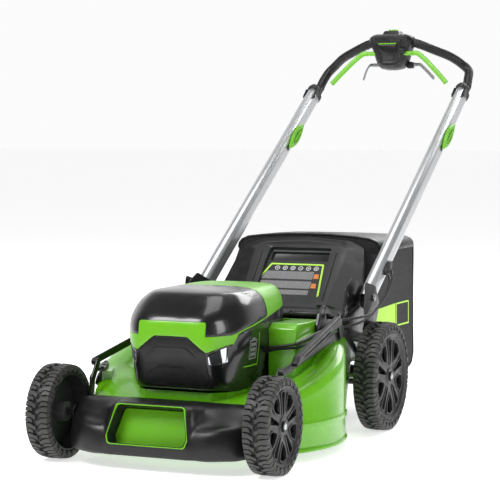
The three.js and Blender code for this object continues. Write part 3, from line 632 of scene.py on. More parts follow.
def piece(obj, name, body, slot, stands_for=(), finish=None, smooth=32):
    """Names a finished shape, gives it its material, and hangs it on its CAD body."""
    obj.name = name
    obj.data.name = name
    obj.data.materials.clear()
    obj.data.materials.append(finish or FINISH[slot])
    obj.data.shade_smooth()
    obj.data.set_sharp_from_angle(angle=math.radians(smooth))
    if stands_for:
        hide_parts(*stands_for)
    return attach(obj, body)


SIDES = (("left", 1), ("right", -1))


def on_side(side, obj):
    if side > 0:
        return obj
    twin = flipped(obj)
    bpy.data.objects.remove(obj)
    return twin


# ---- wheels ----
def tread_point(wheel, s, turn, lift):
    """A point on the tyre: s across it from its middle line, round the shoulder and down the wall."""
    round_off = 8
    flat = wheel["width"] / 2 - round_off
    radius = wheel["radius"] - round_off
    side = 1 if s >= 0 else -1
    reach = abs(s)
    bend = min(max(reach - flat, 0) / round_off, math.pi / 2)
    past = max(reach - flat - round_off * math.pi / 2, 0)
    out = min(reach, flat) + (round_off + lift) * math.sin(bend)
    r = radius + (round_off + lift) * math.cos(bend) - past
    x = wheel["outer"] - wheel["width"] / 2 + side * out
    return (x, wheel["y"] + r * math.cos(turn), wheel["radius"] + r * math.sin(turn))


def tread_block(wheel, stations, start, pitch, height):
    """A raised block; stations are (s, from, to) with from and to as shares of the pitch."""
    rings = []
    for s, a, b in stations:
        low, high = start + a * pitch, start + b * pitch
        foot = 0.035 * pitch
        rings.append([
            tread_point(wheel, s, low - foot, -height - 1), tread_point(wheel, s, low, 0),
            tread_point(wheel, s, high, 0), tread_point(wheel, s, high + foot, -height - 1),
        ])
    return rings


def tread(wheel, count):
    height = 4.6
    flat = wheel["width"] / 2 - 8
    edge = flat + 8 * math.pi / 2
    pitch = 2 * math.pi / count
    arm = [(edge + 9, 0.08, 0.46), (edge + 1, 0.06, 0.5), (flat + 5, 0.02, 0.5), (flat * 0.62, 0.1, 0.46),
           (flat * 0.3, 0.3, 0.62), (flat * 0.06, 0.34, 0.7)]
    fork = [(edge + 4, 0.6, 0.9), (flat + 5, 0.62, 0.94), (flat * 0.7, 0.56, 0.9),
        (flat * 0.42, 0.74, 0.98)]
    vertices, faces = [], []
    for k in range(count):
        for side, shift in ((1, 0), (-1, 0.5)):
            for stations in (arm, fork):
                placed = [(side * s, a, b) for s, a, b in stations]
                rings = tread_block(wheel, placed, (k + shift) * pitch, pitch, height)
                base = len(vertices)
                vertices += [p for ring in rings for p in ring]
                last = base + 4 * (len(rings) - 1)
                faces += [(base, base + 1, base + 2, base + 3), (last, last + 1, last + 2, last + 3)]
                for r in range(len(rings) - 1):
                    for i in range(4):
                        a = base + 4 * r + i
                        b = base + 4 * r + (i + 1) % 4
                        faces.append((a, b, b + 4, a + 4))
    return shape(vertices, faces)


def tyre(wheel, count):
    outer = wheel["outer"]
    inner = outer - wheel["width"]
    radius, foot = wheel["radius"], wheel["ring"]
    depth = 4.6
    left = [(outer - 3.5, foot + 0.3), (outer - 1.6, foot + 2), (outer - 1, foot + 6),
        (outer - 2.4, foot + 8),
            (outer - 2, radius - 10), (outer - 4, radius - 7.5), (outer - 9, radius - depth - 0.6)]
    right = [(inner + outer - x, r) for x, r in reversed(left)]
    carcass = turned(left + right, (wheel["y"], radius), 96)
    return gather(carcass, tread(wheel, count))


def wheel_opening(wheel, turn, corners, radius):
    """One opening between spokes, corners as (share of the rim, millimetres aside)."""
    ring = wheel["ring"]
    points = []
    for share, aside in corners:
        r = share * ring
        angle = turn + aside / r
        points.append((wheel["y"] + r * math.cos(angle), wheel["radius"] + r * math.sin(angle)))
    return rounded(points, radius, 4)


def openings(wheel, grow):
    """Five long wedges inside the V spokes and five short kites between them, near the rim."""
    k = wheel["ring"] / 100
    result = []
    for i in range(5):
        turn = 2 * math.pi * i / 5 + math.pi / 2
        wedge = [(0.30, -3 * k - grow), (0.83 + grow / 100, -10 * k - grow), (0.86 + grow / 100, 0),
                 (0.83 + grow / 100, 10 * k + grow), (0.30, 3 * k + grow), (0.27 - grow / 100, 0)]
        kite = [(0.40 - grow / 80, 0), (0.62, -15 * k - grow), (0.82 + grow / 100, -19 * k - grow),
            (0.86 + grow / 100, 0),
                (0.82 + grow / 100, 19 * k + grow), (0.62, 15 * k + grow)]
        result.append(wheel_opening(wheel, turn, wedge, 3 * k))
        result.append(wheel_opening(wheel, turn + math.pi / 5, kite, 4 * k))
    return result


def rim(wheel):
    centre = (wheel["y"], wheel["radius"])
    ring, outer = wheel["ring"], wheel["outer"]
    inner = outer - wheel["width"] + 2
    profile = [(inner, ring - 0.5), (outer - 2, ring - 0.5), (outer - 2.4, ring - 3), (outer - 4, ring - 5),
               (outer - 8.5, ring * 0.87), (outer - 7.2, ring * 0.6), (outer - 7, 14), (outer - 7, 11),
                   (outer - 13, 11),
               (outer - 13.5, ring * 0.6), (outer - 14.5, ring * 0.88), (outer - 16, ring - 6),
                   (inner, ring - 4.5)]
    wheel_body = turned(profile, centre, 96)
    holes = [prism("x", outline, outer - 30, outer) for outline in openings(wheel, 0)]
    wheel_body = soften(cut(wheel_body, *holes), 0.9, 2, 34)
    lips = []
    for inside, outside in zip(openings(wheel, 0.4), openings(wheel, 3.6)):
        lip = cut(prism("x", outside, outer - 12, outer - 5.6), prism("x", inside, outer - 20, outer))
        lips.append(soften(lip, 0.7, 2, 40))
    hub = turned([(outer - 8, 8.4), (outer - 5.2, 8.4), (outer - 4.6, 12), (outer - 4.6, 19),
        (outer - 7.5, 23),
                  (outer - 14, 24), (outer - 48, 21), (outer - 48, 8.4)], centre, 48)
    dish = turned([(outer - 17, 22), (outer - 17, ring - 5), (outer - 20, ring - 5), (outer - 26, 22)],
        centre, 64)
    return gather(wheel_body, *lips, hub), dish


def wheel_nut(wheel):
    centre = (wheel["y"], wheel["radius"])
    outer = wheel["outer"]
    flats = [(centre[0] + u, centre[1] + v) for u, v in circle(12.5, 6)]
    nut = soften(cut(prism("x", flats, outer - 7.8, outer - 0.8),
        bar(8.2, centre, (outer - 20, outer + 5))), 1.2, 3)
    return nut


def axle_end(wheel):
    centre = (wheel["y"], wheel["radius"])
    outer = wheel["outer"]
    return soften(bar(7.6, centre, (outer - 20, outer - 0.4), 40), 1.4, 3)


def make_wheels():
    for end, wheel, count, carrier in (("front", FRONT, 27, "front_cranks"),
        ("rear", REAR, 33, "rear_axle")):
        for name, side in SIDES:
            body = f"{end}_wheel_{name}"
            piece(on_side(side, tyre(wheel, count)), f"{end}_{name}_tread_tyre", body, "tyre",
                [f"{end}_tyre_{name}"])
            spokes, backing = rim(wheel)
            piece(on_side(side, spokes), f"{end}_{name}_spoked_rim", body, "rim_plastic",
                [f"{end}_rim_{name}"])
            piece(on_side(side, backing), f"{end}_{name}_rim_backing", body, "rim_plastic", finish=DARK)
            piece(on_side(side, wheel_nut(wheel)), f"{end}_{name}_hex_nut", carrier, "steel",
                [f"{end}_nut_{name}"],
                  finish=FINISH["black_steel"])
            piece(on_side(side, axle_end(wheel)), f"{end}_{name}_axle_tip", carrier, "steel")


# ---- deck ----
def shoulder(y):
    return min(105 + 0.3 * y, 226)


def deck_ring(radius, height, steps=120):
    ring = []
    for k in range(steps):
        turn = 2 * math.pi * k / steps
        x, y = radius * math.cos(turn), DECK_Y + radius * math.sin(turn)
        ring.append((x, y, height(y) if callable(height) else height))
    return ring


TUNNEL = [(245, 90), (245, 272), (262, 282), (400, 278), (625, 246), (640, 165), (590, 158), (560, 60),
    (500, 40), (400, 60)]
TUNNEL_INSIDE = [(247.6, 80), (247.6, 269), (262, 279.4), (400, 275.4), (660, 238.4), (660, 169.6),
    (587.4, 160.6),
                 (557.4, 60), (500, 20), (400, 20)]


def deck_plan(inset):
    half = [(80 - inset, 66 + inset), (108 - inset, 95), (122 - inset, 150), (122 - inset, 260)]
    return [(-x, y) for x, y in half] + [(x, y) for x, y in reversed(half)]


def side_block(radial, across, up, radius, z):
    obj = block((radius - radial / 2, radius + radial / 2), (-across / 2, across / 2),
        (z - up / 2, z + up / 2))
    return turn_to_side_door(obj)


def turn_to_side_door(obj):
    """Turns a shape made along +X about the deck's centre line to face the side door's way."""
    origin = at(0, 0, 0)
    turn = Matrix.Translation(at(0, DECK_Y, 0)) @ Matrix.Rotation(math.radians(204), 4, "Z")
    obj.data.transform(turn @ Matrix.Translation(-origin))
    return obj


def deck():
    r = DECK_RADIUS

    def top(y):
        return min(shoulder(y) + 5, PLATFORM_Z - 3)

    rows = [(r + 3.6, 20), (r + 4, 21.5), (r + 4, 25), (r + 2, 28), (r, 30), (r, 67), (r + 1, 70),
        (r + 3, 72),
            (r + 3, 80), (r + 1, 82.5), (r, 85)]
    tops = [(r, -20), (r - 1.5, -12), (r - 5, -5), (r - 11, -0.5), (r - 22, 2.5), (r - 50, 4)]
    rings = [deck_ring(radius, z) for radius, z in rows]
    rings += [deck_ring(radius, lambda y, drop=drop: shoulder(y) + drop) for radius, drop in tops]
    rings.append(deck_ring(150, top))
    drum = loft(rings)
    inside = loft([deck_ring(r - WALL, 10), deck_ring(r - WALL, lambda y: shoulder(y) - 17),
                   deck_ring(r - 12, lambda y: shoulder(y) - WALL - 1),
                       deck_ring(150, lambda y: top(y) - WALL)])
    tunnel = soften(prism("x", rounded(TUNNEL, [0, 10, 8, 60, 12, 6, 0, 0, 0, 0]), -TUNNEL_HALF,
        TUNNEL_HALF), 7, 4)
    pocket = block((-TOWER_INNER, TOWER_INNER), (200, 405), (PLATFORM_Z, 400))
    platform = prism("z", rounded(deck_plan(3), 8), 100, PLATFORM_Z)
    tower = block((TOWER_INNER + WALL, TUNNEL_HALF - WALL), (248, 404), (100, 400))
    duct = block((-TUNNEL_HALF + WALL, TUNNEL_HALF - WALL), (408, 700), (0, 400))
    bay = overlap(fuse(tower, flipped(tower), duct), prism("x", TUNNEL_INSIDE, -TUNNEL_HALF, TUNNEL_HALF))
    throat = block((-TUNNEL_HALF + WALL, TUNNEL_HALF - WALL), (250, 555), (40, PLATFORM_Z - 3 - WALL))
    corner = soften(block((150, 202), (38, 84), (58, 112)), 4)
    body = fuse(drum, soften(cut(tunnel, pocket), 4, 3, 60), platform, corner, flipped(corner),
        side_block(22, 80, 22, 250, 160))
    shell = cut(body, inside, bay, throat, prism("z", deck_plan(6), 90, PLATFORM_Z - WALL))
    rod_plate = prism("x",
        rounded([(630, 166), (638, 186), (650, 168), (706, 126), (706, 86), (664, 84), (652, 120),
                                    (640, 150)], 6), TUNNEL_HALF - 4, TUNNEL_HALF)
    shell = fuse(shell, rod_plate, flipped(rod_plate))
    front_pin = bar(7.5, (60, 76.6), (184, 210))
    rear_hole = bar(8.6, (684.5, 102), (150, 220))
    return cut(shell, front_pin, flipped(front_pin), rear_hole, flipped(rear_hole),
        side_block(60, 98, 56, r, 112),
               prism("z", [(u, v + DECK_Y) for u, v in circle(12, 32)], 100, 160))


def make_deck():
    piece(deck(), "mower_deck", "chassis", "green_paint", ["deck_shell"], smooth=38)


def make_side_door():
    r = DECK_RADIUS
    profile = rounded([(r + 7, 86), (r + 7, 163), (268, 179), (258, 182), (252, 178), (266, 173.5),
        (r + 4, 163),
                       (r + 4, 86)], [1.2, 8, 4, 3, 1, 4, 6, 1.2], 3)
    flap = turn_to_side_door(prism("y", profile, -54, 54))
    ribs = []
    for place in (-42, -14, 14, 42):
        rib = block((r + 6, r + 8.6), (place - 2.5, place + 2.5), (90, 158))
        ribs.append(turn_to_side_door(soften(rib, 1)))
    knuckles = []
    for place in (-46, 0, 46):
        knuckle = prism("y", [(259 + u, 178 + v) for u, v in circle(5.5, 20)], place - 7, place + 7)
        knuckles.append(turn_to_side_door(knuckle))
    piece(gather(soften(flap, 1, 2), *ribs, *knuckles), "side_chute_flap", "side_door", "black_plastic",
          ["side_discharge_door"])


# ---- front bumper ----
RECESS_TILT = math.atan2(20, 65)
RECESS = [(-74, 38), (74, 38), (89, -22), (84, -39), (-84, -39), (-89, -22)]


def recess_plug(grow, depth, proud, radius):
    """The grab recess as a solid, grown outwards, from proud of the bumper's face to depth behind it."""
    outline = [(u + math.copysign(grow, u), v + math.copysign(grow, v)) for u, v in RECESS]
    plug = prism("y", rounded(outline, radius), -proud, depth)
    tilt = Matrix.Rotation(-RECESS_TILT, 4, "X")
    plug.data.transform(Matrix.Translation(at(0, -69, 95.5)) @ tilt @ Matrix.Translation(-at(0, 0, 0)))
    return plug


# Cross-sections of the bumper from its middle outwards: x, then (y, z) round the section.
BUMPER_SECTIONS = [
    (0, [(44, 132), (0, 138), (-47, 138), (-60, 128), (-84, 62), (-80, 33), (-72, 31), (-45, 31), (-40, 80),
        (30, 112)]),
    (76, [(44, 132), (0, 138), (-47, 138), (-60, 128), (-84, 62), (-80, 33), (-72, 31), (-45, 31),
        (-40, 80), (30, 112)]),
    (92, [(44, 132), (0, 137), (-42, 134), (-57, 122), (-83, 62), (-80, 33), (-72, 31), (-45, 31),
        (-40, 80), (30, 112)]),
    (106, [(44, 132), (2, 134), (-30, 124), (-50, 104), (-74, 84), (-80, 35), (-72, 31), (-45, 31),
        (-40, 76), (30, 112)]),
    (128, [(44, 132), (6, 133), (-20, 120), (-44, 100), (-72, 88), (-79, 40), (-72, 31), (-45, 31),
        (-40, 74), (30, 112)]),
    (160, [(44, 132), (8, 133), (-14, 121), (-36, 104), (-62, 92), (-71, 44), (-64, 33), (-42, 31),
        (-36, 74), (30, 112)]),
    (184, [(44, 131), (12, 132), (-8, 121), (-26, 106), (-44, 92), (-56, 46), (-50, 34), (-34, 31),
        (-28, 74), (30, 112)]),
    (200, [(44, 130), (16, 130), (0, 120), (-16, 106), (-30, 90), (-38, 48), (-34, 36), (-22, 33),
        (-18, 74), (30, 112)]),
]


def bumper():
    half = [[(x, y, z) for y, z in section] for x, section in BUMPER_SECTIONS]
    rings = [[(-x, y, z) for x, y, z in ring] for ring in reversed(half[1:])] + half
    body = soften(smooth_loft(rings, 5, 4), 2.5, 3, 50)
    inside = prism("x", rounded([(48, 102), (48, 126), (0, 130), (-38, 116), (-68, 84), (-74, 36),
        (-76, 20), (-30, 20)], 8),
                   -96, 96)
    nose = soften(cut(body, recess_plug(1, 60, 30, [10, 10, 12, 10, 10, 12])), 2.2, 3, 50)
    deck_room = loft([deck_ring(DECK_RADIUS + 5, 0), deck_ring(DECK_RADIUS + 5, 100),
                      deck_ring(DECK_RADIUS + 3, lambda y: shoulder(y) + 1), deck_ring(150, 160)])
    crank_room = block((173, 220), (30, 95), (50, 125))
    return cut(nose, cut(inside, recess_plug(4, 36, 0, 8)), deck_room, crank_room, flipped(crank_room))


def make_bumper():
    piece(bumper(), "bumper_nose", "chassis", "black_plastic", ["front_bumper"], smooth=40)
    corner = [9, 9, 10, 9, 9, 10]
    tray = cut(recess_plug(0.2, 34, 4.5, corner), recess_plug(-6, 30, 30, corner))
    piece(soften(tray, 2.2, 4, 40), "bumper_grab_tray", "chassis", "green_plastic", ["bumper_grip_insert"],
        smooth=40)
    rim = cut(recess_plug(4.5, 2, 5, corner), recess_plug(-2.5, 30, 30, corner))
    piece(soften(rim, 2.4, 4, 40), "bumper_grab_rim", "chassis", "green_plastic", smooth=40)
    seam = block((-86, 86), (-34, -32.6), (138, 139.2))
    piece(seam, "bumper_seam", "chassis", "black_plastic", finish=DARK)


# ---- hood ----
# Each level of the hood: height, then half the outline from the front corner round to the rear.
HOOD_LEVELS = [
    (150, [(78, 70), (104, 92), (120, 138), (121, 262), (102, 366), (72, 386)]),
    (160, [(82, 60), (109, 88), (123, 134), (123, 262), (103, 368), (73, 388)]),
    (200, [(83, 46), (112, 82), (128, 128), (128, 262), (109, 371), (77, 392)]),
    (237, [(82, 38), (115, 78), (132, 120), (132, 262), (112, 373), (80, 396)]),
    (277, [(79, 40), (118, 78), (134, 116), (133, 262), (114, 375), (82, 400)]),
    (302, [(77, 45), (116, 84), (132, 120), (130, 262), (113, 377), (82, 402)]),
    (330, [(77, 72), (110, 106), (123, 136), (121, 262), (108, 380), (80, 402)]),
    (346, [(76, 93), (98, 120), (110, 146), (109, 262), (99, 381), (75, 400)]),
    (355, [(70, 108), (88, 132), (97, 154), (96, 262), (90, 377), (68, 394)]),
    (359, [(56, 128), (68, 146), (76, 164), (76, 262), (70, 364), (52, 380)]),
    (361, [(34, 158), (42, 168), (46, 178), (46, 262), (42, 344), (32, 358)]),
]
CROWN = 4


def hood_body(inset):
    """The hood's whole outside as a solid, or shrunk by inset for its inside."""
    middle_y = 225
    rings = []
    for level, (z, half) in enumerate(HOOD_LEVELS):
        half = [(0, half[0][1] - CROWN)] + half + [(0, half[-1][1] + CROWN)]
        half = [(x * (1 - inset / 120), middle_y + (y - middle_y) * (1 - inset / 175)) for x, y in half]
        low = z - 10 if inset > 0 and level == 0 else z - max(inset, 0)
        outline = half + [(-x, y) for x, y in reversed(half[1:-1])]
        rings.append([(x, y, low if inset else z) for x, y in outline])
    return smooth_loft(rings, 6, 5)


LID_EDGE = [(62, 267), (117, 283), (246, 299), (256, 372)]
BAND_EDGE = [(86, 251), (98, 274), (117, 280), (240, 295.5), (430, 318)]


def lid_region(gap):
    low, notch, rear, top = LID_EDGE
    side = prism("x", rounded([(-50, low[1] + gap), (low[0] + 20, low[1] + 5 + gap),
        (notch[0], notch[1] + gap),
                               (rear[0] - gap, rear[1] + gap), (top[0] - gap, 342),
                                   (top[0] - gap - 16, top[1]), (-50, 372)],
                              [0, 20, 0, 12, 14, 0, 0]), -200, 200)
    front = rounded([(-78 - gap, 150), (-78 - gap, 301 + gap), (78 + gap, 301 + gap), (78 + gap, 150)],
        [0, 7, 7, 0])
    return cut(side, prism("y", front, -50, 66))


def lower_region(gap):
    front = [(-200, 100), (-200, 262 - gap), (-118, 253 - gap), (-81, 237 - gap), (-39, 270 - gap),
        (39, 270 - gap),
             (81, 237 - gap), (118, 253 - gap), (200, 262 - gap), (200, 100)]
    front = prism("y", rounded(front, [0, 0, 6, 8, 12, 12, 8, 6, 0, 0]), -50, 86)
    side = prism("x", [(86, 100)] + [(y, z - gap) for y, z in BAND_EDGE] + [(430, 100)], -200, 200)
    return fuse(front, side)


def grille_outline(grow):
    outline = [(-38, 268), (38, 268), (79, 236), (81, 164), (-81, 164), (-79, 236)]
    moved = [(x + math.copysign(grow, x), z + (grow if z > 200 else -grow)) for x, z in outline]
    return rounded(moved, [12, 12, 9, 10, 10, 9])


def lens_region(grow):
    outline = [(86 - grow, 211 - grow), (84 - grow, 231 + grow), (113 + grow, 246 + grow),
        (111 + grow, 217 - grow)]
    return prism("y", rounded(outline, 2, 3), -50, 112)


def grille_rib(z, rise):
    low = [(-56, z - 6), (-36, z + rise), (36, z + rise), (56, z - 6)]
    high = [(x, y + 5) for x, y in reversed(low)]
    return prism("y", rounded(low + high, [2, 12, 12, 2, 2, 12, 12, 2]), 20, 64)


def on_hood(axis, outlines, reach):
    """Flat shapes laid on the hood's skin, a hair proud of it."""
    shapes = gather(*[prism(axis, outline, *reach) for outline in outlines])
    return overlap(cut(hood_body(-0.4), hood_body(1.2)), shapes)


def make_hood():
    skin = cut(hood_body(0), hood_body(3))
    lid = soften(overlap(copy_of(skin), lid_region(0.6)), 1.1, 2, 50)
    piece(lid, "lid_cover", "battery_lid", "gloss_black", ["battery_lid"], smooth=38)
    band = soften(cut(copy_of(skin), lid_region(0), lower_region(0)), 1.0, 2, 50)
    piece(band, "hood_green_band", "chassis", "green_plastic", ["hood_band"], smooth=38)
    lower = overlap(skin, lower_region(0.6))
    lenses = [lens_region(0.4), on_side(-1, lens_region(0.4))]
    grille_hole = prism("y", grille_outline(0.6), -50, 76)
    shell = soften(cut(copy_of(lower), grille_hole, *lenses), 1.0, 2, 50)
    piece(shell, "hood_lower_cover", "chassis", "gloss_black", ["hood_shell"], smooth=38)
    face = overlap(copy_of(lower), prism("y", grille_outline(0), -50, 76))
    ribs = overlap(gather(grille_rib(232, 9), grille_rib(194, 9)), cut(hood_body(-1.6), hood_body(2)))
    piece(soften(gather(soften(face, 1.2, 2, 50), ribs), 0.8, 2, 50), "hood_front_grille", "chassis",
        "black_plastic",
          ["hood_grille"], smooth=38)
    for name, side in SIDES:
        glass = soften(overlap(copy_of(lower), lens_region(0)), 0.8, 2, 50)
        piece(on_side(side, glass), f"headlight_{name}_glass", "chassis", "lens", [f"headlight_{name}"],
            finish=SMOKE)
        lamp = on_hood("y", [
            [(106, 214), (112.5, 216), (112.5, 247), (104.5, 243)],
            [(84.5, 212), (88, 212.5), (86, 229), (84.5, 229)],
        ], (-50, 112))
        piece(on_side(side, lamp), f"headlight_{name}_strips", "chassis", "lens", finish=LAMP)
        line = [(126, 199), (189, 199), (189, 268), (186.6, 268), (186.6, 201.6), (126, 201.6)]
        piece(on_side(side, on_hood("x", [line], (100, 140))), f"hood_corner_line_{name}", "chassis",
            "green_plastic")
        outline, hole = [(142, 214), (176, 214), (176, 256), (142, 256)], [(145, 217), (173, 217),
            (173, 253), (145, 253)]
        icon = cut(on_hood("x", [rounded(outline, 3)], (100, 140)), prism("x", rounded(hole, 2), 90, 150))
        cells = on_hood("x", [[(148, z), (170, z), (170, z + 7), (148, z + 7)] for z in (221, 231.5, 242)],
            (100, 140))
        nub = on_hood("x", [[(152, 256.5), (166, 256.5), (166, 260), (152, 260)]], (100, 140))
        piece(on_side(side, gather(icon, cells, nub)), f"hood_cell_icon_{name}", "chassis", "black_plastic",
              finish=GREY_PRINT)
    bpy.data.objects.remove(lower)


# ---- rear door: u across, v up its slope from the hinge, n out of its face ----
def on_door(obj):
    """Turns a shape made flat at the axis, with n upwards, onto the door's slope at its hinge."""
    lean = Matrix.Rotation(DOOR_SLOPE, 4, "X")
    obj.data.transform(Matrix.Translation(at(0, *DOOR_HINGE)) @ lean @ Matrix.Translation(-at(0, 0, 0)))
    return obj


def door_slab(outline, low, high, radius=0.0, edge=0.0):
    slab = prism("z", rounded(outline, radius) if radius else outline, low, high)
    return on_door(soften(slab, edge) if edge else slab)


LABEL = [(80, 48), (70, 147), (-70, 147), (-116, 48)]


def door_label():
    """A lime frame round rows of grey print, warm patches and small round signs, all without words."""
    face = 5.2
    border = cut(door_slab(LABEL, face, face + 0.5, 5),
        door_slab([(76, 40), (66, 142.6), (-67, 142.6), (-116, 40)],
                                                                    face - 5, face + 5, 4))
    piece(border, "door_label_border", "rear_door", "black_plastic", finish=LIME)
    rows = []
    for low, high in ((99, 123), (71, 93), (52, 66)):
        left = [-107 + (v - 52) * 0.46 for v in (low, high)]
        rows.append(door_slab([(50, low), (50, high), (left[1], high), (left[0], low)], face, face + 0.35))
    piece(gather(*rows), "door_label_rows", "rear_door", "black_plastic", finish=GREY_PRINT)
    patches = [door_slab([(66, v), (64, v + 14), (52, v + 14), (52, v)], face, face + 0.4) for v in (102,
        73)]
    piece(gather(*patches), "door_label_patches", "rear_door", "black_plastic", finish=ORANGE)
    signs = []
    for k in range(6):
        centre = (-50 + 20.5 * k, 133)
        ring = [(centre[0] + u, centre[1] + v) for u, v in circle(6.4, 24)]
        core = [(centre[0] + u, centre[1] + v) for u, v in circle(4.6, 24)]
        signs.append(cut(door_slab(ring, face, face + 0.4), door_slab(core, face - 3, face + 3)))
        mark = [(centre[0] + u, centre[1] + v) for u, v in circle(2.6, 3 + k % 3)]
        signs.append(door_slab(mark, face, face + 0.4))
    piece(gather(*signs), "door_label_signs", "rear_door", "black_plastic", finish=PALE)


def make_rear_door():
    outer = [(-182, 6), (182, 6), (186, 56), (172, 150), (160, 202), (118, 224), (0, 234), (-118, 224),
        (-160, 202),
             (-172, 150), (-186, 56)]
    plate = door_slab(outer, -8, 5, [6, 6, 14, 22, 26, 60, 120, 60, 26, 22, 14], 2)
    # A raised panel with sloping flanks and an arched brow, round the label's pocket.
    base = rounded([(-152, 14), (152, 14), (166, 145), (156, 196), (116, 218), (0, 228), (-116, 218),
        (-156, 196),
                    (-166, 145)], [4, 4, 20, 24, 50, 100, 50, 24, 20])
    crest = rounded([(-114, 18), (114, 18), (124, 148), (126, 182), (102, 203), (0, 212), (-102, 203),
        (-126, 182),
                     (-124, 148)], [4, 4, 20, 24, 50, 100, 50, 24, 20])
    raised = on_door(loft([[(x, y, 4) for x, y in base], [(x, y, 15) for x, y in crest]]))
    hollow = [(-86, 10), (86, 10), (84, 150), (81, 190), (-81, 190), (-84, 150)]
    body = cut(fuse(plate, soften(raised, 2, 3, 25)), door_slab(hollow, 5, 30, [2, 2, 10, 8, 8, 10]))
    pocket = door_slab([(-76, 156), (76, 156), (75, 184), (-75, 184)], -4, 30, 5)
    body = cut(body, pocket)
    for side in (1, -1):
        groove = [(side * 97, 30), (side * 100, 30), (side * 100, 176), (side * 97, 176)]
        if side < 0:
            groove.reverse()
        body = cut(body, door_slab(groove, 12.5, 30))
    piece(soften(body, 1.3, 3, 35), "rear_flap", "rear_door", "black_plastic", ["rear_door"], smooth=38)
    barrels = []
    for start, end in ((-182, -96), (-92, 20), (24, 92), (96, 182)):
        barrels.append(soften(cut(bar(8, DOOR_HINGE, (start, end), 40),
            bar(4.6, DOOR_HINGE, (start - 5, end + 5))), 0.8, 2, 40))
    apron = door_slab([(-180, 2), (180, 2), (181, 16), (-181, 16)], -6, 8, 4, 2)
    piece(gather(*barrels, apron), "rear_flap_hinge", "rear_door", "black_plastic")
    door_label()


# ---- grass bag ----
BAG_FRONT = [(188, 402), (186, 413), (178, 423), (160, 431), (120, 436), (60, 440), (0, 441)]
BAG_REAR = [(189, 402), (188, 412), (181, 421), (166, 427), (120, 430), (60, 431), (0, 431)]


def bag_top(y):
    """Half of the bag's top edge at y, falling slightly towards the rear."""
    t = min(max((y - 812) / 234, 0), 1)
    return [(a + (c - a) * t, b + (d - b) * t) for (a, b), (c, d) in zip(BAG_FRONT, BAG_REAR)]


def bag_outline(y, inset=0.0):
    """Half of the bag's cross-section from its lower corner up to its crown, as (x, z)."""
    low = [(0, 89), (120, 89), (172, 90), (184, 96), (188.5, 108), (189, 200), (188.5, 300)]
    half = low + bag_top(y)
    return [(x * (1 - inset / 190), z + (inset if z < 200 else -inset)) for x, z in half]


def sagged(x, y, z):
    """How the cloth hangs between its frame wires: a slight hollow mid-panel."""
    along = (y - 815) / 230
    height = (z - 100) / 330
    hollow = 2.5 * max(0, math.sin(math.pi * min(max(along, 0), 1))) * max(0,
        math.sin(math.pi * min(max(height, 0), 1)))
    spread = 1 + 0.03 * min(max((y - 812) / 240, 0), 1)
    return spread * (x - math.copysign(hollow, x) if abs(x) > 150 else x)


def bag_ring(y, inset=0.0):
    right = bag_outline(y, inset)
    ring = []
    for x, z in right + [(-x, z) for x, z in reversed(right[1:-1])]:
        ring.append((sagged(x, y, z), y, z))
    return ring


def grass_bag():
    body = smooth_loft([bag_ring(y) for y in (700, 740, 790, 850, 920, 990, 1040, 1060)], 3, 5)
    profile = [(709, 153), (709, 281), (812, 398), (814, 470), (1030, 470), (1054, 436), (1058, 130),
        (1048, 104),
               (1028, 90), (776, 89)]
    side = prism("x", rounded(profile, [2, 6, 6, 0, 20, 26, 20, 18, 20, 18]), -200, 200)
    body = soften(overlap(body, side), 3.0, 3, 45)
    inside = overlap(prism("x",
        [(700, 156), (700, 265), (822, 401), (824, 428), (1047, 428), (1050, 112), (1038, 92),
                                 (774, 92)], -184, 184),
                     loft([bag_ring(690, 4.5), bag_ring(1049, 4.5)]))
    return cut(body, inside)


def bag_side(outline, radius, side, lift=0.5):
    """A thin patch following the bag's side panel; outline is (y, z)."""
    skin = cut(smooth_loft([bag_ring(y, -lift) for y in (690, 740, 790, 850, 920, 990, 1040, 1060)], 3, 5),
               smooth_loft([bag_ring(y, 0.6) for y in (680, 740, 790, 850, 920, 990, 1040, 1070)], 3, 5))
    reach = (150, 215) if side > 0 else (-215, -150)
    return overlap(skin, prism("x", rounded(outline, radius), *reach))


def bag_piping():
    """The sewn binding round the side panel's edge."""
    outline = [(713, 157), (776, 93), (1028, 93), (1046, 106), (1054, 130), (1052, 424), (817, 424),
        (817, 404), (713, 285)]
    inner = [(717, 160), (778, 97), (1026, 97), (1042, 109), (1050, 132), (1048, 420), (821, 420),
        (821, 402), (717, 283)]
    tapes = []
    for side in (1, -1):
        hole = prism("x", rounded(inner, 10), -230, 230)
        tapes.append(cut(bag_side(outline, 10, side, 1.4), hole))
    return gather(*tapes)


def bag_badge():
    """A plain lime band beside an outlined square on the bag's side, with no words."""
    patches = []
    for side in (1, -1):
        patches.append(bag_side([(716, 208), (930, 209.6), (930, 268.4), (737, 263)], 2, side))
        frame = bag_side([(935, 209.6), (1022, 209.6), (1022, 269), (935, 268.6)], 3, side)
        patches.append(cut(frame,
            prism("x", rounded([(939, 213.6), (1018, 213.6), (1018, 265), (939, 264.6)], 2), -230, 230)))
    return gather(*patches)


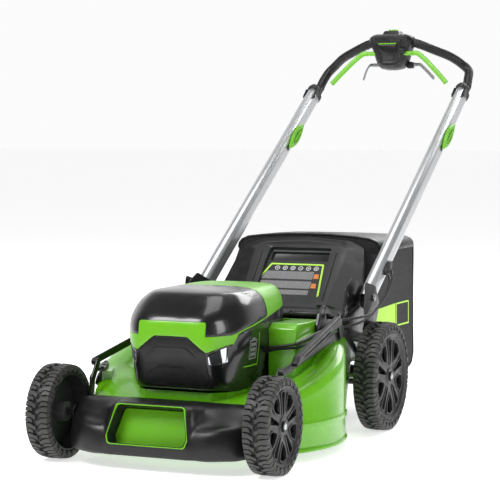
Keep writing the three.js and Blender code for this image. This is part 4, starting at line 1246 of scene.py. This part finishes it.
def make_bag():
    bag = piece(grass_bag(), "bag_cloth_shell", "bag", "bag_fabric", ["grass_bag"], smooth=50)
    piece(bag_piping(), "bag_binding", "bag", "bag_fabric", finish=FINISH["black_plastic"])
    piece(bag_badge(), "bag_side_badge", "bag", "bag_fabric", finish=LIME)
    rings = []
    for y in (812, 870, 960, 1046):
        edge = bag_top(y)
        top = [(x * 1.02, z + 6.5) for x, z in edge]
        under = [(x * 1.006, z + 1.0) for x, z in edge]
        half = top + [(-x, z) for x, z in reversed(top[:-1])]
        lower = under + [(-x, z) for x, z in reversed(under[:-1])]
        spread = 1 + 0.03 * (y - 812) / 240
        rings.append([(x * spread, y, z) for x, z in half + list(reversed(lower))])
    cover = soften(loft(rings), 2.0, 3, 40)
    grip = soften(prism("z", rounded([(-62, 880), (62, 880), (56, 912), (-56, 912)], 10), 442.5, 480), 1)
    cover = soften(cut(cover, grip), 1.2, 2, 50)
    piece(cover, "bag_top_cover", "bag", "black_plastic", ["bag_cover"], smooth=40)


# ---- handle brackets ----
def make_brackets():
    outline = [(525, 262), (545, 340), (590, 358), (662, 334), (690, 290), (650, 216), (560, 212)]
    outer_outline = [(580, 290), (592, 350), (662, 334), (690, 290), (650, 216), (600, 214)]
    for name, side in SIDES:
        inner = prism("x", rounded(outline, 14), 198.6, 201.6)
        for y, z, r in ((552, 285, 8), (560, 322, 6), (668, 300, 5)):
            inner = cut(inner, bar(r, (y, z), (190, 210)))
        outer = prism("x", rounded(outer_outline, 10), 231.4, 232.4)
        web = prism("x", rounded([(560, 212), (650, 216), (654, 223), (558, 219)], 2), 200, 232)
        knob = soften(bar(9, FOLD, (197.4, 198.8), 32), 0.5)
        bolt = bar(6, FOLD, (198.8, 232.2))
        head = prism("x", [(FOLD[0] + u, FOLD[1] + v) for u, v in circle(9, 6)], 232.3, 237)
        body = gather(soften(inner, 0.8, 2, 40), soften(outer, 0.4, 2, 40), web, bolt)
        piece(on_side(side, body), f"handle_bracket_{name}_plates", "chassis", "black_steel",
            [f"handle_bracket_{name}"])
        piece(on_side(side, gather(soften(head, 1.4), knob)), f"handle_bracket_{name}_bolt", "chassis",
            "black_steel",
              finish=FINISH["steel"])


# ---- lower handle: s up the tube from the fold, n across it ----
def on_handle(obj):
    """Turns a shape standing along +Z at the axis onto the handle's slope at the fold."""
    lean = Matrix.Rotation(SLOPE - math.pi / 2, 4, "X")
    obj.data.transform(Matrix.Translation(at(0, *FOLD)) @ lean @ Matrix.Translation(-at(0, 0, 0)))
    return obj


def up_tube(outline, start, end, x=TUBE["x"]):
    return prism("z", [(x + u, v) for u, v in outline], start, end)


def lower_tube():
    deep, wide = TUBE["deep"], TUBE["wide"]
    tube = soften(cut(up_tube(oval(deep, wide, 20), -16, TUBE["length"]),
                      up_tube(oval(deep - 3, wide - 3, 20), -40, TUBE["length"] + 10)), 0.4, 2, 50)
    return cut(on_handle(tube), bar(6.6, FOLD, (180, 250)))


def collar_ring():
    """A thin black ring round the tube's top with a neck for the upper bar."""
    deep, wide, length = TUBE["deep"], TUBE["wide"], TUBE["length"]
    ring = soften(up_tube(oval(deep + 6, wide + 6, 20), length - 8, length + 7), 1.6, 3, 40)
    lip = soften(up_tube(oval(deep + 7, wide + 7, 20), length + 1, length + 5), 0.9, 2, 40)
    neck = soften(around_leg(LEG["radius"] + 2.6, length + 4, length + 14), 1.2, 3, 40)
    body = fuse(ring, lip, neck)
    tube_room = up_tube(oval(deep + 0.6, wide + 0.6, 20), length - 60, length + 1)
    return on_handle(cut(body, tube_room, around_leg(LEG["radius"] + 0.3, length - 10, length + 50)))


def around_leg(radius, start, end):
    return prism("z", [(TUBE["x"] + u, LEG["n"] + v) for u, v in circle(radius, 32)], start, end)


def collar_tongue(x):
    """A pointed tongue running down the tube's side, near its rear edge."""
    length = TUBE["length"]
    outline = [(-22, length - 6), (4, length - 6), (-6, length - 30), (-13, length - 44),
        (-19, length - 40)]
    return on_handle(soften(prism("x", rounded(outline, 5), x, x + 2.4), 0.9, 2, 40))


CAM = {"s": 629, "length": 118, "half": 17.4, "thick": 9}


def cam_lever(side):
    """A pointed-oval quick-release lever with a dished middle, lying on the tube's +X face."""
    x = side * TUBE["x"] + TUBE["wide"] / 2 + 1
    low, length, half = CAM["s"], CAM["length"], CAM["half"]
    outline = []
    for k in range(12):
        t = k / 12
        outline.append((-2 * half * 2 * t * (1 - t), low + length * t))
    outline += [(-v, 2 * low + length - s) for v, s in outline]
    body = soften(prism("x", outline, x, x + CAM["thick"] - 1), 2, 4, 30)
    dish = soften(prism("x",
        [(v * 0.62, low + length / 2 + (s - low - length / 2) * 0.66) for v, s in outline], x + 4.6,
            x + 20), 1)
    body = soften(cut(body, dish), 0.8, 2, 40)
    rib = prism("x", rounded([(-3, low + 34), (3, low + 34), (3, low + 84), (-3, low + 84)], 2), x + 4,
        x + CAM["thick"])
    rib = soften(rib, 0.8)
    return on_handle(gather(body, rib))


def make_lower_handle():
    for name, side in SIDES:
        piece(on_side(side, lower_tube()), f"lower_tube_{name}_shell", "lower_handle", "aluminium",
            [f"lower_tube_{name}"],
              smooth=50)
        outer_face = TUBE["x"] + TUBE["wide"] / 2 + 0.3
        inner_face = TUBE["x"] - TUBE["wide"] / 2 - 2.7
        parts = gather(collar_ring(), collar_tongue(outer_face), collar_tongue(inner_face))
        piece(on_side(side, parts), f"collar_{name}_moulding", "lower_handle", "black_plastic",
            [f"collar_{name}"])
        s = TUBE["length"] - 34
        head = prism("x", [(-14 + u, s + v) for u, v in circle(4, 24)], inner_face - 2, inner_face + 0.4)
        screw = on_handle(soften(head, 0.8))
        piece(on_side(side, screw), f"collar_{name}_screw", "lower_handle", "steel")
        piece(cam_lever(side), f"cam_lever_{name}_grip", f"cam_{name}", "green_plastic",
            [f"cam_lever_{name}"])
        x = side * TUBE["x"] + TUBE["wide"] / 2
        seat = on_handle(prism("x", [(u, CAM["s"] + 2 + v) for u, v in circle(8, 32)], x + 0.1, x + 0.7))
        piece(seat, f"cam_seat_{name}", "lower_handle", "black_plastic")
    face = TUBE["x"] + TUBE["wide"] / 2 + 0.4
    outline = [(0, 88), (9, 98), (9, 126), (3, 140), (-4, 140), (-9, 126), (-9, 98)]
    body = soften(prism("x", rounded(outline, 3), face, face + 9), 2.4, 4)
    ridges = [prism("x", [(-8.4, s), (8.4, s), (8.4, s + 1.8), (-8.4, s + 1.8)], face + 1,
        face + 9.6) for s in (101, 107, 113, 119)]
    piece(on_handle(gather(body, *ridges)), "cable_grommet_moulding", "lower_handle", "black_plastic",
        ["cable_grommet"])


# ---- rear chute ----
def make_chute():
    outer = prism("x", [(596, 165), (596, 245), (626, 241), (672, 238), (700, 205), (700, 172), (640, 170)],
        -193, 193)
    inner = prism("x", rounded([(590, 170), (590, 242), (626, 238), (670, 235), (697, 204), (720, 204),
        (720, 173),
                                (640, 173)], 3), -190, 190)
    frame_piece = soften(cut(outer, inner), 0.8, 2, 40)
    ears = []
    for side in (1, -1):
        x = (184.4, 189.6) if side > 0 else (-189.6, -184.4)
        ear = prism("x", rounded([(640, 234), (640, 268), (646, 272), (658, 272), (662, 264), (660, 234)],
            5), *x)
        ears.append(soften(cut(ear, bar(4.6, DOOR_HINGE, (-200, 200))), 0.6))
    piece(gather(frame_piece, *ears), "rear_chute_frame", "chassis", "black_plastic", ["rear_chute"])


# ---- height adjustment ----
FRONT_PIVOT = (60, FRONT["radius"] - 25)
REAR_PIVOT = (REAR["y"] + 60, REAR["radius"] - 25)
LEVER_PIVOT = (412.8, 284.6)
PIN = (17.2, 41.6)


def strap(start, end, radius, x0, x1, sides=24):
    """A flat bar with round ends between two (y, z) points."""
    a, b = Vector(start), Vector(end)
    along = (b - a).normalized()
    turn = math.atan2(along.y, along.x)
    outline = []
    for centre, base in ((b, turn - math.pi / 2), (a, turn + math.pi / 2)):
        for k in range(sides // 2 + 1):
            angle = base + math.pi * k / (sides // 2)
            outline.append((centre.x + radius * math.cos(angle), centre.y + radius * math.sin(angle)))
    return prism("x", outline, x0, x1)


def crank_piece(pivot, hub, plate, stub_end):
    pin = (pivot[0] + PIN[0], pivot[1] + PIN[1])
    arms = fuse(strap(pivot, hub, 15, *plate), strap(pivot, pin, 11, *plate))
    rivet = soften(bar(5, pin, (plate[0] + 1, plate[1] + 5.4)), 0.7)
    stub = bar(8, hub, (plate[0] + 1, stub_end))
    return gather(soften(arms, 1, 3, 40), soften(stub, 0.8), rivet)


def link_bar():
    lever_pin = (LEVER_PIVOT[0] + PIN[0], LEVER_PIVOT[1] - PIN[1])
    front = (FRONT_PIVOT[0] + PIN[0], FRONT_PIVOT[1] + PIN[1])
    rear = (REAR_PIVOT[0] + PIN[0], REAR_PIVOT[1] + PIN[1])
    slot_end = (lever_pin[0], lever_pin[1] - 7.2)
    outer = strap((112, 196), lever_pin, 8, 224, 228)
    for start, end, radius in ((lever_pin, (478, 240), 8), (lever_pin, slot_end, 8.4),
        ((478, 240), (590, 160), 8),
                               ((590, 160), rear, 8)):
        outer = fuse(outer, strap(start, end, radius, 224, 228))
    inner = fuse(strap(front, (88, 162), 8, 213, 217), strap((88, 162), (112, 196), 8, 213, 217))
    step = bar(8, (112, 196), (213.2, 227.8))
    end_boss = bar(9, rear, (219, 227.8))
    body = fuse(soften(outer, 0.9, 2, 40), soften(inner, 0.9, 2, 40), step, end_boss)
    return cut(body, strap(lever_pin, slot_end, 5.6, 220, 232), bar(5.5, front, (200, 220)),
        bar(5.5, rear, (200, 224)))


def height_lever():
    pin = (LEVER_PIVOT[0] + PIN[0], LEVER_PIVOT[1] - PIN[1])
    plate = fuse(strap(LEVER_PIVOT, pin, 10, 230.4, 235), strap((394, 275), LEVER_PIVOT, 11, 230.4, 235))
    grip = prism("x", rounded([(399, 289), (407, 269), (142, 204), (139, 212), (153, 225.5)],
        [8, 8, 4, 4, 8]), 230.4, 245.6)
    hollow = prism("x", rounded([(330, 261), (334, 257), (180, 219.5), (182, 224)], 1.5), 243.6, 250)
    grip = soften(cut(soften(grip, 3, 4, 40), hollow), 0.7, 2, 50)
    pivot = soften(bar(6, LEVER_PIVOT, (207, 231.5)), 0.6)
    cap = soften(bar(8, LEVER_PIVOT, (234, 236.5)), 0.8)
    return gather(soften(plate, 1, 3, 40), grip, pivot, cap, bar(5, pin, (225, 231)))


def quadrant():
    plate = prism("x", rounded([(356, 236), (356, 268), (372, 298), (402, 312), (436, 296), (446, 236)],
        [4, 12, 16, 16, 14, 4]),
                  199, 205.6)
    notches = []
    for k in range(6):
        turn = math.radians(60 + 14 * k)
        centre = (LEVER_PIVOT[0] + 24 * math.cos(turn), LEVER_PIVOT[1] + 24 * math.sin(turn))
        notches.append(bar(2.6, centre, (190, 210), 20))
    return soften(cut(plate, bar(6.8, LEVER_PIVOT, (190, 210)), *notches), 0.9, 2, 40)


def make_height_parts():
    for name, side in SIDES:
        stub = crank_piece(FRONT_PIVOT, (0, FRONT["radius"]), (206, 212), FRONT["outer"] - 1)
        pivot = soften(bar(7, FRONT_PIVOT, (187.2, 207)), 0.6)
        piece(on_side(side, gather(stub, pivot)), f"front_crank_{name}_arm", "front_cranks", "black_steel",
              [f"front_crank_{name}"])
        piece(on_side(side, link_bar()), f"height_link_{name}_bar", "height_links", "black_steel",
            [f"height_link_{name}"])
    rear = crank_piece(REAR_PIVOT, (REAR["y"], REAR["radius"]), (212, 218), REAR["outer"] - 1)
    rod = bar(8, REAR_PIVOT, (-213, 213))
    piece(gather(rear, flipped(rear), rod), "rear_axle_crank", "rear_axle", "black_steel", ["rear_axle"])
    piece(height_lever(), "height_lever_arm", "height_lever", "black_plastic", ["height_lever"], smooth=40)
    piece(quadrant(), "height_quadrant_plate", "chassis", "black_steel", ["height_quadrant"])


# ---- upper handle ----
def on_leg(s):
    c, k = math.cos(SLOPE), math.sin(SLOPE)
    return (TUBE["x"], FOLD[0] + s * c - LEG["n"] * k, FOLD[1] + s * k + LEG["n"] * c)


BOW = [on_leg(490), on_leg(700), on_leg(TUBE["length"] + 30), on_leg(TUBE["length"] + 44), (214, 1462, 843),
       (207, 1488, 868), (188, 1489, 886), (160, 1476, 906), (110, 1456, 928), (78, 1449, 941),
           (60, 1447, 946),
       (40, 1447, 946)]


def both_sides(path):
    return path + [(-x, y, z) for x, y, z in reversed(path)]


def make_handlebar():
    bow = sweep(circle(LEG["radius"], 32), both_sides(BOW), 8)
    piece(bow, "handlebar_tube", "upper_handle", "black_steel", ["handlebar"], finish=GRIP, smooth=60)
    for name, side in SIDES:
        for place, (start, ahead) in (("end", (BOW[9], BOW[10])), ("corner", (BOW[3], BOW[4]))):
            a, b = Vector(start), Vector(ahead)
            end = a + (b - a).normalized() * 3.2
            ring = sweep(circle(LEG["radius"] + 0.8, 32), [tuple(a), tuple(end)], 2)
            piece(on_side(side, soften(ring, 0.6, 2, 50)), f"grip_{place}_ring_{name}", "upper_handle",
                "black_plastic")


def on_front(outline, low, high):
    """A shape on the control box's front, as (x, z) from its middle; low and high are y from there."""
    y, z = BOX_CENTRE
    return prism("y", [(u, v + z) for u, v in outline], y + low, y + high)


def mirrored_outline(right):
    """A closed outline from its right half, bottom to top."""
    return right + [(-u, v) for u, v in reversed(right)]


def control_box_body():
    y, z = BOX_CENTRE
    sides = {
        -33.6: [(18, -46), (30, -36), (42, -6), (52, 14), (53, 27), (42, 35), (22, 38)],
        -20: [(26, -54), (38, -42), (51, -6), (62, 16), (61, 30), (46, 39), (24, 40)],
        12: [(30, -56), (42, -43), (54, -4), (63.8, 20), (60, 31), (46, 39.5), (24, 40)],
        33.6: [(22, -48), (36, -36), (48, -4), (57, 16), (53, 27), (41, 35), (22, 38)],
    }
    rings = []
    for depth, right in sides.items():
        rings.append([(u, y + depth, v + z) for u, v in mirrored_outline(right)])
    body = smooth_loft(rings, 3, 4)
    crown = loft([
        [(26, y - 24, z + 36), (26, y + 24, z + 36), (-26, y + 24, z + 36), (-26, y - 24, z + 36)],
        [(20, y - 14, z + 49.6), (20, y + 21, z + 49.6), (-20, y + 21, z + 49.6), (-20, y - 14, z + 49.6)],
    ])
    return soften(fuse(body, soften(crown, 2.4, 4, 30)), 1, 2, 50)


def make_control_box():
    y, z = BOX_CENTRE
    holes = [bar(LEG["radius"] + 3, (1447, 946), (-90, 90)), bar(7, (1424, 916), (-90, 90)),
        bar(6, (1466, 886), (-90, 90)),
             block((-13, 13), (y - 5, y + 15), (z + 39.5, z + 60))]
    slot = block((31, 47), (y - 42, y - 29), (z - 18, z + 24))
    body = cut(control_box_body(), *holes, slot)
    # Front face: a trapezoid recess with a raised block in it and a green strip above.
    face = on_front(rounded([(-18, -38), (16, -38), (28, 4), (26, 16), (-36, 16), (-38, 4)], 4), -36, -31.4)
    body = soften(cut(body, face), 0.8, 2, 50)
    piece(body, "control_box_body", "upper_handle", "black_plastic", ["control_box"], smooth=38)
    block_piece = soften(on_front(rounded([(-15, -32), (12, -32), (22, 2), (20, 10), (-30, 10), (-32, 2)],
        3), -34, -30.8), 1.4, 3)
    piece(block_piece, "control_box_panel", "upper_handle", "gloss_black")
    strip = soften(on_front([(-30, 11.4), (20, 11.4), (22, 14.6), (-32, 14.6)], -34, -31), 0.6)
    piece(strip, "control_box_strip", "upper_handle", "green_plastic")
    knuckle = soften(block((38, 56), (y + 6, y + 27), (z - 55, z - 36)), 4, 4)
    piece(knuckle, "control_box_knuckle", "upper_handle", "black_plastic")


def make_levers():
    y, z = 1424, 916
    path = [(65, y, z), (78, y, z), (96, y - 2, z - 12), (130, y - 8, z - 44), (158, y - 13, z - 73),
        (168, y - 15, z - 84)]
    section = rounded([(-6.8, -3.5), (6.8, -3.5), (6.8, 3.5), (-6.8, 3.5)], 2.6, 4)
    arm = soften(sweep(section, path, 8), 0.9, 2, 50)
    rod = bar(6, (y, z), (-67, 67))
    piece(gather(arm, flipped(arm), rod), "bail_arm", "bail", "green_plastic", ["bail_lever"], smooth=45)
    y, z = 1466, 886
    path = [(64, y, z), (73, y, z), (84, y + 6, z - 10), (96, y + 20, z - 26), (104, y + 32, z - 38)]
    section = rounded([(-2.4, -6), (2.4, -6), (2.4, 6), (-2.4, 6)], 1.8, 4)
    arm = soften(sweep(section, path, 8), 0.7, 2, 50)
    rod = bar(5, (y, z), (-65, 65))
    piece(gather(arm, flipped(arm), rod), "drive_lever_arm", "drive_control", "grey_plastic",
        ["drive_lever"], smooth=45)
    y, z = BOX_CENTRE
    button = soften(block((-12, 12), (y - 4, y + 14), (z + 45, z + 53.6)), 2.4, 4)
    piece(button, "start_button_cap", "start_button", "green_plastic", ["start_button"])
    thumb = soften(block((31.4, 46.6), (y - 41, y - 29.4), (z - 16, z)), 1.8, 3)
    ribs = [soften(block((32.5, 45.5), (y - 42, y - 40), (z - 14 + 4 * k, z - 12.4 + 4 * k)), 0.5,
        2) for k in range(4)]
    piece(gather(thumb, *ribs), "speed_slider_thumb", "speed_slider", "black_plastic", ["speed_slider"])


# ---- cables: they lie along the hood, tower and bracket and end in the handle's grommet ----
POWER_CABLE = [
    (131.5, 236, 220), (150, 236, 226), (178, 238, 230), (199, 240, 232), (205.5, 248, 234),
        (209, 290, 238),
    (211, 360, 244), (212, 430, 250), (216, 468, 253), (229, 496, 256), (238, 518, 259), (241, 560, 263),
    (243, 600, 270), (246, 660, 294), (248, 700, 320), (246, 722, 342), (238, 738, 352),
]
DRIVE_CABLE = [
    (132.5, 230, 230), (148, 229, 232), (176, 232, 236), (199, 234, 240), (207, 245, 243), (211, 290, 250),
    (211.5, 360, 257), (212.5, 430, 264), (217, 470, 270), (230, 498, 272), (243, 530, 273),
        (250, 600, 280),
    (253, 660, 304), (254, 700, 330), (251, 726, 352), (244, 742, 364),
]


def make_cables():
    for name, path in (("power_cable", POWER_CABLE), ("drive_cable", DRIVE_CABLE)):
        tube = sweep(circle(3, 16), path, 8)
        piece(tube, f"{name}_sheath", "chassis", "cable", [name], smooth=60)


# ---- CAD pieces that stay as they are get a procedural finish ----
KEPT = {
    "battery_bay": "black_plastic",
    "battery_pack": "black_plastic",
    "safety_key": "green_plastic",
    "blade_motor": "black_steel",
    "motor_shaft": "steel",
    "cutting_blade": "steel",
    "blade_bolt": "steel",
    "drive_gearbox": "black_plastic",
    "drive_shaft": "steel",
    "door_hinge_rod": "steel",
}


def finish_kept():
    for obj in bpy.context.scene.objects:
        if obj.name in KEPT and obj.type == "MESH":
            obj.data.materials.clear()
            obj.data.materials.append(FINISH[KEPT[obj.name]])


set_camera()
make_cables()
set_lights()
set_floor(floor_paper())
make_wheels()
make_deck()
make_side_door()
make_bumper()
make_hood()
make_chute()
make_rear_door()
make_bag()
make_brackets()
make_height_parts()
make_lower_handle()
make_handlebar()
make_control_box()
make_levers()
finish_kept()
